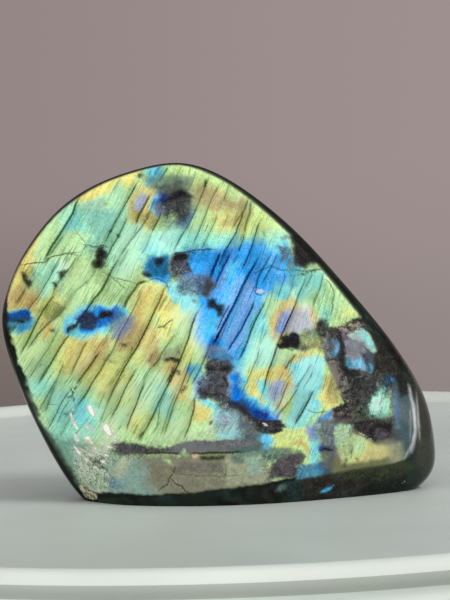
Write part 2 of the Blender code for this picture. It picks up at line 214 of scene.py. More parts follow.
# The hue of the flash. Later marks lie over earlier ones.
HUES = (
    patch(LIME, (-12, 90), (24, 66), (0, 71), (-6, 84), soft=3),
    patch(AQUA, (-20, 69), (-8, 71), (4, 68), (18, 68.5), (18, 64), (-20, 63), soft=2.2),
    patch(0.46, (-40, 78), (-24, 80), (-20, 70), (-26, 62), (-40, 68), soft=2.5),
    patch(0.69, (-52, 66), (-45, 70), (-47, 62), (-52, 52), (-58, 52), soft=1.4),
    patch(0.46, (-47, 62), (-38, 64), (-40, 55), (-45, 54), soft=1.8),
    patch(0.76, (-55, 56), (-48, 57), (-44.5, 54.5), (-46, 50), (-56, 50), soft=1.6),
    patch(0.61, (-45, 54), (-41, 56), (-38, 52), (-43, 46), (-47, 48), soft=1.6),
    oval(0.73, -44, 46, 2.6, 1.6, soft=1.5),
    patch(LIME, (-54, 46), (-45, 46), (-48, 41), (-53, 40), soft=2),
    patch(0.46, (-53, 39), (-44, 38), (-44, 30), (-50, 28), soft=3),
    patch(0.43, (-51, 36), (-46, 36), (-43, 30), (-47, 28), soft=2),
    patch(LIME, (-43, 43), (-37, 45), (-38, 34), (-43, 34), soft=2.5),
    patch(0.665, (-39, 43.5), (-30, 43.5), (-33, 32.5), (-41, 34.5), soft=2.2),
    patch(0.76, (-31.5, 42.5), (-27, 43), (-29, 36), (-33.5, 35), soft=1.2),
    patch(0.64, (-33, 36), (-24, 40), (-22, 33), (-26, 28.5), (-31, 29), soft=2.5),
    patch(0.5, (-42, 33), (-36, 34), (-38, 26), (-46, 24), soft=2.5),
    patch(0.43, (-44, 30), (-36, 30), (-30, 25), (-32, 18), (-44, 16), soft=3),
    patch(0.37, (-37.5, 28), (-34, 27), (-34.5, 21), (-37.5, 21), soft=1.5),
    patch(0.57, (-28, 31), (-19, 31), (-20, 18), (-27, 20), soft=2.5),
    patch(0.51, (-28, 26), (-23.4, 26), (-22.6, 20), (-27, 19), soft=1.4),
    oval(0.62, -20.5, 23, 4.2, 2, soft=2),
    patch(0.655, (-19.5, 57.5), (-11.5, 57), (-9.5, 50), (-12, 44), (-21, 43), (-22, 50), soft=2.5),
    oval(0.72, -19.4, 52, 5, 1.6, 66, soft=1.2),
    oval(0.56, -16, 47, 3, 1.5, soft=1.5),
    oval(0.73, -17.6, 43.2, 4, 2, soft=2.2),
    oval(0.77, -16.8, 38.6, 4.4, 1.7, soft=1.8),
    oval(0.74, -12.6, 35.4, 3.2, 2.2, soft=1.8),
    patch(0.61, (-26, 42), (-19, 42), (-20, 33), (-28, 33), soft=2),
    patch(0.5, (-22, 36), (-14, 34), (-12, 24), (-20, 24), soft=2.5),
    patch(0.44, (-16, 31), (-11.5, 31), (-12.5, 22.5), (-16.5, 24), soft=1.8),
    patch(0.71, (-12.5, 34), (-8.2, 35), (-8, 27), (-11, 28), soft=1.5),
    oval(0.62, -7.6, 40, 4, 1.4, 66, soft=1.3),
    patch(0.7, (-6.6, 27.5), (-2.5, 25.6), (-3.5, 22), (-7.6, 21.5), soft=1.4),
    oval(0.77, -22.5, 44.6, 5.4, 3.2, soft=1.6),
    oval(0.93, -22.9, 46.7, 3, 1.1, 64, soft=0.9),
    patch(0.66, (-36, 83), (-20, 88), (-20, 82.5), (-33, 77.5), soft=1),
    patch(0.41, (-38.7, 72.1), (-35.1, 75.9), (-32.6, 71.7), (-37.4, 69.6), soft=0.4),
    patch(0.44, (-33.3, 75.4), (-24, 75.3), (-26.5, 70.1), (-30, 68.4), (-32.1, 72), soft=0.4),
    patch(0.52, (-41.5, 65.5), (-38.3, 69.7), (-32.2, 70.1), (-33.5, 66.3), soft=0.5),
    patch(0.49, (-28.5, 81), (-23, 83.5), (-22, 77), (-28, 75.5), soft=1),
    oval(0.74, -18.4, 77.2, 5.6, 2.9, 68, soft=1.3, most=0.85),
    oval(0.96, -18.5, 77.6, 2.4, 1.1, 72, soft=0.8),
    oval(0.73, -15.8, 73.6, 4, 1.7, 60, soft=1.3, most=0.8),
    oval(0.4, -14.7, 77.2, 2.9, 0.9, 66, soft=0.5),
    patch(0.34, (-17.6, 87), (-12.6, 88), (-13, 84), (-15.4, 81.8), (-17.4, 82.6)),
    oval(0.18, -12.6, 78.4, 1.9, 2.4, soft=1.4),
    oval(0.98, -13.4, 76.2, 1.8, 1, 80, soft=0.6),
    oval(0.22, -7.4, 73, 2.6, 1.1, 40, soft=1.6),
    patch(0.8, (-5, 80.8), (-1, 80.8), (3, 78.4), (8.6, 76.8), (8, 73.4), (0.6, 74.6), (-5, 76.8), soft=1.6,
        most=0.8),
    patch(0.72, (0.6, 73.2), (8.4, 73.6), (8.4, 69.6), (1.4, 70.2), soft=1.4, most=0.8),
    oval(0.6, 9, 71.6, 3.6, 1, 78, soft=0.8),
    patch(0.25, *TEAL_SPOT, soft=0.9),
    patch(0.32, (10, 52.6), (12.6, 52.6), (6.4, 35.2), (4.4, 36), (6.4, 46), soft=1.2),
    patch(0.225, (-9.5, 64.5), (9, 66.2), (17.4, 66), (20, 61.5), (20.3, 57.5), (16.3, 54.6), (11.4, 52.4),
        (8, 46), (4.6, 35.2), (3.2, 33.8), (-1, 36.6), (-4.4, 41), (-5.2, 46), (-5.4, 50.5), (-5.2, 55),
        (-8.4, 58.5), soft=1.7),
    patch(0.25, (-4.6, 50.6), (0.6, 50), (-0.8, 42.4), (-4.6, 41.4), soft=1.4, most=0.8),
    patch(0.23, (-8, 64.2), (-0.5, 65), (-2.6, 60), (-5.8, 58.2), soft=0.5, most=0.7),
    patch(0.25, (11, 66), (19, 65.6), (20, 58), (12, 57), soft=1.4, most=0.8),
    patch(0.31, (12.5, 66.4), (18.2, 66.6), (18.8, 63.6), (14.4, 63.6), soft=0.9),
    patch(0.31, (3.6, 61.8), (6, 61.8), (5, 57.4), (2.4, 57.8), most=0.7),
    patch(0.28, (-3.4, 49), (1.4, 48), (-0.6, 43), (-3.2, 43.5), soft=1, most=0.8),
    oval(0.13, -0.8, 41.8, 3.2, 1, 66, soft=0.6),
    oval(0.37, 16.6, 53.4, 3, 2.4, 60, soft=1.2),
    patch(0.33, (18.6, 60.6), (22.6, 59.4), (21.6, 54.6), (18.4, 54), soft=1),
    patch(0.42, (21.4, 58.6), (28.2, 58), (27.2, 52), (20.6, 51), (19.6, 54), soft=1.2),
    patch(0.37, (10, 48.6), (13, 49), (13, 42.6), (9.6, 41), soft=1.2),
    patch(0.37, (-12.4, 57.6), (-5.4, 57.6), (-5, 49.4), (-8.4, 49.4), (-11.4, 53), soft=1.2),
    patch(0.5, (24, 53), (31, 53), (34.5, 47.5), (27.5, 47), soft=1.8),
    patch(0.56, (31.6, 50.4), (36.8, 46.4), (31.8, 45.4), soft=0.9),
    oval(0.65, 34.5, 46.9, 1.1, 0.7, 10, soft=0.6),
    oval(0.44, 27.6, 46.6, 2.6, 1.4, 70),
    patch(0.5, (11.8, 51.6), (19, 51.4), (19, 44), (12.4, 44), soft=1.4),
    oval(0.75, 16.8, 46.6, 6.2, 3.2, soft=1.1),
    oval(0.97, 16.9, 46.2, 3.4, 1.6, 64),
    patch(0.9, (19.2, 49), (24.6, 48.6), (24, 44), (19, 42.8), (17.6, 44.6), soft=1.2),
    oval(0.78, 24.8, 46.2, 2.6, 0.7, 100, soft=0.6),
    patch(0.62, (21.6, 42.8), (27.6, 41.4), (27.2, 36.6), (22, 38.6), soft=1.2),
    patch(0.43, (7.8, 42), (14.8, 42.6), (13.8, 35.4), (6.8, 35.6), soft=1.6),
    patch(0.66, (6.8, 33.8), (17, 35.6), (19.6, 31), (17.8, 25), (10, 26.4), (7, 29), soft=1.4),
    oval(0.74, 16.2, 33.6, 2.4, 1.4, 30),
    oval(0.77, 18, 29.6, 3.2, 1, 66, soft=0.8),
    oval(0.73, 14.6, 24.8, 2, 0.9, 40, soft=0.8),
    patch(0.38, (9, 31.6), (11.2, 33), (12.4, 30.8), (12, 27.6), (13.4, 25.8), (11.2, 26.2), (9.6, 28.6),
        soft=0.9),
    oval(0.97, 14.2, 29, 2.9, 2.2, 68, soft=1.4, most=0.9),
    patch(0.37, (16.6, 36), (26.8, 36.2), (25, 22.6), (19.4, 22.6), (18.8, 31), soft=1.2),
    oval(0.72, 20.6, 36.6, 3.2, 1, 24, soft=0.9),
    patch(0.67, (26.8, 32.4), (29.6, 32), (31, 24.8), (27.6, 23.6), (24.6, 26.4), soft=1),
    patch(0.55, (15.6, 27.4), (18.6, 28), (18.6, 19), soft=1.2),
    patch(0.41, (18, 28.6), (21.8, 28.6), (22.6, 20), (18.4, 19.6), soft=1.2),
    patch(0.98, (24.2, 21.4), (28.4, 23.4), (28.4, 20.8), (23, 20), soft=0.7),
    oval(0.22, 26.6, 21.6, 1.8, 0.5, 25, soft=0.6),
    patch(0.34, (5, 35), (6.2, 34), (6.4, 30), (9.6, 27), (15.4, 24), (9, 24), (4.6, 28.6), soft=0.9),
    patch(0.17, (1.8, 33.8), (4.6, 34), (5.6, 29), (9, 26), (14.8, 23.2), (15.8, 21), (8.4, 21.4),
        (3, 27.2), soft=1.2),
    patch(0.07, (7.6, 24.6), (11, 25), (12.8, 22.8), (10.8, 21.2), (8.4, 22), soft=1),
    oval(0.06, 2.6, 29.6, 1.8, 0.6, 110, soft=0.6, most=0.6),
    patch(0.6, (11.6, 18.6), (17, 20), (22, 19), (22.8, 13), (12, 14.6), soft=1.4),
    patch(0.76, (17.6, 15.4), (20.4, 16.8), (22.8, 13.4), (22, 12.2), (20.6, 14.6), soft=0.7),
    patch(0.37, (22.8, 16), (24.8, 17.4), (24.4, 9), (22.4, 8.8), soft=0.9),
    patch(0.3, (19.2, 9.2), (25.2, 9.8), (27.4, 4.6), (18.6, 4.2), soft=0.5),
    patch(0.27, (23.6, 4.4), (29.6, 5), (29.6, 0.8), (23.6, 0.6), soft=0.5),
    oval(0.14, 25.3, 13.6, 0.9, 0.9, 0, soft=0.5),
    patch(0.95, (21.6, 20), (24.4, 19.6), (24.6, 16), (22.4, 15.6)),
    oval(0.2, 25.6, 8.8, 1.4, 1.2, 10, soft=0.8),
    patch(0.63, (33, 17.2), (39.4, 13.8), (44.4, 13.2), (48.4, 9.8), (40, 6.4), (28, 6), (29, 12.8),
        soft=1),
    patch(0.7, (37, 12), (46.6, 11.6), (47.2, 8.2), (36, 7.4), soft=1.2),
    patch(0.39, (37.3, 44.6), (41.3, 37), (33.6, 40), soft=0.5),
    patch(0.29, (31.4, 37), (39.8, 36.6), (39.8, 31.4), (31.4, 31.4)),
    patch(0.35, (31.2, 35.8), (35.4, 30.6), (31.4, 31.4), soft=0.7),
    patch(0.43, (36.4, 28.6), (43.4, 28), (43, 19.4), (37, 19.8), soft=1.4),
    patch(0.21, (44.6, 27.6), (47.8, 26), (47.6, 17.6), (44.6, 18), soft=1.4),
    patch(0.24, (41.8, 31.2), (46.2, 31.2), (45.8, 27.9), (42, 27.7), soft=1.2),
    patch(0.27, (27.4, 42.2), (32, 41.8), (32.2, 35.8), (27.2, 36), soft=0.6),
    oval(0.93, 29.6, 39.2, 1.4, 0.8, 70, soft=0.8),
    patch(0.58, (27.6, 15), (32.6, 15.6), (33.6, 6), (27, 5), soft=1.4),
    oval(0.24, -7, 35.2, 1.5, 1, 20),
    patch(0.36, (-6.8, 36), (-4, 36.6), (-3.8, 28), (-6.2, 29.4), soft=0.9),
    oval(0.98, -5, 30.6, 2.2, 1.2, 66),
    patch(0.36, (-5, 28.2), (-0.2, 27.2), (0.4, 25.8), (-4.4, 26.6)),
    patch(0.37, (-1.6, 26.6), (2.6, 26.4), (6, 21), (6, 17), (-1, 17.4), soft=1.2),
    patch(0.97, (-0.6, 24), (2.2, 24.2), (2, 20.4), soft=1),
    patch(0.35, (-39.4, 45), (-39.6, 47.2), (-37, 49.2), (-35.8, 51.8), (-32, 52.6), (-23.6, 51.8),
        (-22.8, 49.6), (-28, 44.6), (-33, 43.2), (-37.4, 43.6)),
    patch(0.15, (-35.8, 48.6), (-34.9, 51), (-29, 51.8), (-25, 51.2), (-24.4, 49.6), (-28.4, 46.4),
        (-31.6, 44.6), (-34, 44.6), soft=0.7),
    patch(0.1, (-35.6, 48.4), (-34, 50.8), (-29.4, 48.2), (-34.2, 46.2), soft=0.7),
    patch(0.2, (-35, 45.8), (-31, 44.4), (-34.6, 44.2), soft=0.6),
    oval(0.3, -38.2, 46, 1.4, 0.9, 100, soft=0.7),
    patch(0.4, *LEFT_BLOT),
    patch(0.12, (-55.4, 50.3), (-48.6, 50.2), (-46.6, 48.6), (-48.6, 47.4), (-54.6, 48), soft=0.7),
    patch(0.3, (-54, 47.4), (-50.4, 47.4), (-50.4, 46.5), (-53.8, 46.4), soft=0.4),
    patch(0.28, (-50.4, 47.6), (-46.4, 47.4), (-48, 45.4), (-51.8, 45.2), soft=0.7),
    patch(0.38, (21, 36.6), (26.6, 36.8), (23.2, 23.6), (20.2, 19.8), (16.6, 19.8), soft=1.1),
    patch(0.67, (-36.6, 80), (-33, 83.4), (-24, 87), (-21.6, 85.4), (-26.8, 80.4), (-34, 77.4)),
    patch(0.46, *AQUA_FIELD, soft=1.6, most=0.8),
    patch(0.4, (-19, 66.6), (-13.6, 67.4), (-13.2, 64.6), (-17.6, 63.4), soft=1),
    patch(0.42, (13.4, 67.4), (19.6, 67.8), (19.8, 65.8), (14.4, 65.6), soft=0.7),
    patch(0.2, (-31.8, 51.6), (-29.2, 51.4), (-31.6, 48.2), soft=0.7),
    oval(0.93, -24.6, 46.2, 3, 1.5, 64, soft=0.9),
    patch(0.56, *LEFT_FIELD, soft=2, most=0.8),
    patch(0.44, (-44.6, 19.6), (-39, 22), (-35, 16), (-37, 9.6), (-40.4, 11.6), soft=1.6),
    patch(0.52, (28.6, 19.6), (34, 19.8), (37.4, 15.8), (36, 11.4), (29, 11), soft=1.2),
    patch(0.3, (9.4, 18.6), (12.4, 19), (13.4, 16.4), (11.6, 13.6), (9.2, 14.6)),
)

# How strongly the stone flashes, from 0 to 1. It starts at 1 on the face and at 0 elsewhere.
GLOWS = (
    patch(0.55, (-33.3, 75.4), (-27.8, 75.8), (-24, 75.3), (-27.8, 68.4), (-30, 68.4), (-31.7, 70),
        (-32.1, 72.6), soft=0.5),
    patch(0.55, (-34.2, 76.8), (-28, 78.6), (-26.4, 76.6), (-32.4, 75.2), soft=0.7),
    oval(0.75, -24.6, 73.4, 3, 1.6, soft=1.2),
    patch(0.35, *TOP_HAZE, soft=1.3),
    oval(0.3, -9.4, 76.4, 6, 4.6, 80, soft=2.6),
    oval(0.03, -9.8, 78.4, 3.8, 2.6, 15, soft=2),
    oval(0.12, -9, 74.4, 2.8, 2.4, 80, soft=1.8),
    oval(0.15, -12.6, 80.8, 2, 0.9, 15, soft=0.8),
    patch(0.55, (-5, 80), (0.6, 79.6), (0.6, 75), (-4.6, 74.6), soft=1.4),
    oval(0.45, -11.2, 72, 2.6, 1.4, 70, soft=1.2),
    patch(0.62, (-3, 80), (8, 76.6), (7.6, 73.8), (-3.6, 77), soft=1.6),
    oval(0.6, 4, 71.6, 3.2, 1.2, 6, soft=1.2),
    oval(0.55, 9.2, 73.6, 3.6, 0.7, 84, soft=0.6),
    patch(0.3, (16, 65.4), (19.6, 64.8), (20.2, 61), (16.6, 61.2), soft=0.7),
    oval(0.25, 18.4, 66.9, 1.8, 0.6, 0, soft=0.6),
    patch(0.4, (-17.4, 61.4), (-15.4, 63.6), (-11, 63.8), (-11.2, 58.6), (-16.2, 59.2), soft=0.9),
    patch(0.16, (-10.8, 64.6), (-6.8, 64.2), (-5.8, 58.8), (-8.6, 57.8), (-11.4, 58.4), soft=0.9),
    patch(0.34, *MOTTLED_GREY, soft=1.4),
    oval(0.05, -2.3, 56, 2.3, 1.2, 76, soft=0.8),
    oval(0.6, 1.6, 57, 3, 1),
    oval(0.5, 19.6, 61.6, 1.6, 2.2, 0),
    patch(0.18, (-35.6, 47.6), (-34.6, 50.8), (-31.4, 50.8), (-29.6, 48.6), (-30.4, 45.8), (-34.2, 45.4),
        soft=1),
    oval(0.1, -28, 49.6, 2, 0.9, 12, soft=0.8),
    oval(0.2, -37, 46, 1.6, 0.6, 40, soft=0.7),
    patch(0.5, (-28.4, 49), (-25, 51.2), (-23.2, 48.8), (-24.2, 45.6), (-27.6, 45), soft=1),
    patch(0.62, (-54, 50), (-47, 48), (-49.4, 45.6), (-54, 45.6), soft=1),
    patch(0, (-57, 58), (-54.3, 53.6), (-54, 46), (-51.8, 38), (-49.2, 30.6), (-47.8, 27.4), (-53, 27),
        (-59, 42), soft=0.9),
    oval(0.2, -50.6, 47.9, 2.4, 0.5, 0, soft=0.4),
    oval(0.7, -41.2, 49.2, 4, 1.4, 48),
    oval(0.65, -38.4, 52.8, 3.4, 1, 55),
    oval(0.62, -22.8, 44.6, 4.4, 2.4, soft=1.4),
    oval(0.45, -11.4, 39.8, 2.6, 1.5, 30),
    oval(0.72, -16.4, 38.8, 3, 1.3),
    oval(0.5, -27.6, 37.8, 2.2, 0.8, 0, soft=0.7),
    patch(0.46, *BLUE_GREY_SIDE, soft=1),
    patch(0.4, (-3.6, 38), (-3, 41), (0.6, 41.4), (4.4, 38.4), (4, 36), (-3, 35.4), soft=1.2),
    patch(0.3, (4, 27.6), (5.6, 28.2), (8.4, 25), (8.2, 22.6), (4.4, 25.4)),
    patch(0.04, *DARK_LEG, soft=0.7),
    patch(0.06, (3.2, 28.2), (8.8, 22.6), (15.8, 21.9), (16.2, 20.2), (14.6, 18.8), (10.6, 18.2),
        (1.4, 25.6), soft=0.6),
    patch(0.1, (-0.6, 27.6), (2.6, 27.6), (3, 23.6), (0.4, 24.4), soft=0.7),
    patch(0.48, *PALE_FOOT, soft=1.3),
    patch(0.16, *GREY_FOOT, soft=1),
    patch(0.6, (12.4, 17.6), (12.8, 14.4), (9.4, 14.6)),
    patch(0.3, (24.6, 21.4), (33.8, 20.4), (28.6, 17.6), (28.2, 12), (25.4, 12.4), (24.4, 18)),
    patch(0, (-28, 15.8), (-25.6, 16.6), (-20, 16.2), (-16.6, 15.6), (-12, 15.8), (-7.4, 17), (-3, 16.4),
        (1, 16.8), (7, 16), (10, 13.8), (2, 13.6), (-12, 13.8), (-20, 13.4), (-27.6, 12.8), soft=1.2),
    patch(0.12, (-32, 14), (-27, 12.6), (-12, 13.6), (2, 13.4), (11, 12.6), (13, 3), (-36, 1), soft=1),
    patch(0.35, *LOWER_LEFT_HAZE, soft=2.5),
    patch(0.3, (3, 14.6), (15.8, 15), (20, 13.4), (12, 11), (4, 11.6), soft=0.9),
    patch(0.05, (12.6, 10.6), (15.4, 12.6), (20.4, 13), (21.4, 11.6), (18.8, 6.4), (11.4, 6.6), soft=0.9),
    patch(0.42, *LOWER_BLUE),
    patch(0.25, *LOWER_GREY, soft=0.9),
    patch(0.62, (26.4, 32.6), (29.8, 32), (30.8, 25), (28, 24.2), (26, 27), soft=1),
    patch(0.05, (15.2, 40.6), (17, 42.4), (19.6, 43.6), (22, 39.8), (19.8, 38.8), (18.4, 39.9),
        (16.4, 39.3), soft=0.5),
    patch(0.5, (-14.4, 38), (-9.6, 40.2), (-9.2, 38), (-11.6, 36.9)),
    oval(0.2, 26.2, 44, 2.6, 1.8, 60, soft=1.1),
    oval(0.35, 23.6, 43.4, 2.8, 1.2, 10),
    patch(0.5, (20.4, 43.4), (24.2, 43.6), (27.6, 38.6), (21, 39.6), soft=0.9),
    oval(0.45, 26.2, 40.6, 1.2, 2.2, 0),
    oval(0.35, 21.8, 39.2, 1.8, 1, 10, soft=0.7),
    patch(0.04, (26.8, 43.6), (32, 44.3), (36.2, 46), (41, 46.2), (56, 30), (56, 2), (44, 2), (25, 5.4),
        (28, 12), (28.4, 23.6), (31.6, 24.6), (30.8, 27.6), (27, 35.8), soft=0.7),
    patch(0.5, (29.6, 13), (33.4, 16.8), (36.2, 15.9), (39.4, 13.3), (44, 12.5), (46.8, 10.2), (40, 9.4),
        (31, 8.8)),
    oval(0.72, 34.6, 12.4, 3, 2, 40, soft=2),
    patch(0.62, (30, 19.4), (33.4, 19.2), (30.2, 16.6), soft=0.6),
    patch(0.3, (42.6, 13.6), (46.6, 13.2), (48.4, 7), (43.4, 7), soft=1.6),
    patch(0.6, (37.3, 44.2), (38.7, 42.2), (40.1, 39.7), (40.9, 37.3), (39.7, 36.9), (36.8, 41), soft=0.35),
    patch(0.36, (33.4, 41.8), (36.6, 43.2), (37.4, 40.4), soft=0.6),
    patch(0.36, (28.1, 41.5), (30.4, 41), (30.8, 36.8), (28.5, 36.4), (27.8, 39), soft=0.4),
    oval(0.62, 30.4, 38.6, 2, 0.7, 75, soft=0.7),
    patch(0.66, (33.8, 35.4), (37.4, 36.2), (38, 33.8), (37.2, 32.6), (33.8, 33.6)),
    patch(0.4, (31.9, 36.2), (33.8, 35.8), (34.2, 32.1), (32.3, 33), soft=0.7),
    patch(0.45, (36.6, 31.8), (36.2, 30.6), (34.2, 30.9), soft=0.3),
    patch(0.6, (38.1, 34.8), (39.3, 33.9), (39.5, 31.9), (38.1, 32), soft=0.4),
    patch(0.48, (38.2, 25.4), (39.6, 27), (42, 28.4), (44, 28), (45.1, 24.4), (44.7, 20.5), (41.4, 20),
        (37.8, 20.8), (37.4, 23), soft=1),
    patch(0.9, (38.2, 23.4), (39.4, 25.4), (41, 26.4), (42.8, 25.6), (43.6, 23.4), (43.2, 21.4),
        (38.4, 21.8)),
    oval(0.4, 42.2, 25.4, 1.8, 0.35, 56, soft=0.5),
    oval(0.45, 40.9, 21.8, 1.6, 0.35, soft=0.5),
    oval(0.6, 41.2, 28, 1.4, 0.4, 120, soft=0.5),
    patch(0.4, (44.7, 27.2), (45.8, 25.4), (46.2, 17.2), (44.7, 17.2), soft=1.2),
    patch(0.22, *DARK_TEAL),
    patch(0.56, (28.8, 19.2), (33.6, 19.2), (32, 13.2), (29.6, 12.6), (28.8, 15.6), soft=0.6),
    oval(0.66, 26.2, 21.8, 2.2, 0.9, 20, soft=0.7),
    patch(0.62, (-18.6, 18.6), (3, 20.4), (3, 16), (-18.6, 15.4), soft=1.2),
    patch(0, (-12.6, 15.6), (-8.4, 17.2), (-3.6, 16.8), (4, 17.4), (11, 15.8), (9, 14), (-12, 14),
        soft=0.5),
    oval(0.45, -14.2, 13.4, 1.1, 0.5, 0, soft=0.4),
    patch(0.6, (-15, 12.6), (-13.2, 12.5), (-12.4, 10.7), (-14.2, 11.6), soft=0.6),
    patch(0.55, (-9.2, 15.3), (-8.7, 14.2), (-11.6, 12.3), (-10.8, 13.8), soft=0.3),
    patch(0, *LOWER_LEFT_EDGE, soft=0.9),
    patch(0, *LOWER_EDGE, soft=0.4),
)

# The same on the bevel below the face.
BEVEL_GLOWS = (
    oval(0.85, 26.4, 2.7, 1.8, 0.55, 24, soft=0.5),
)

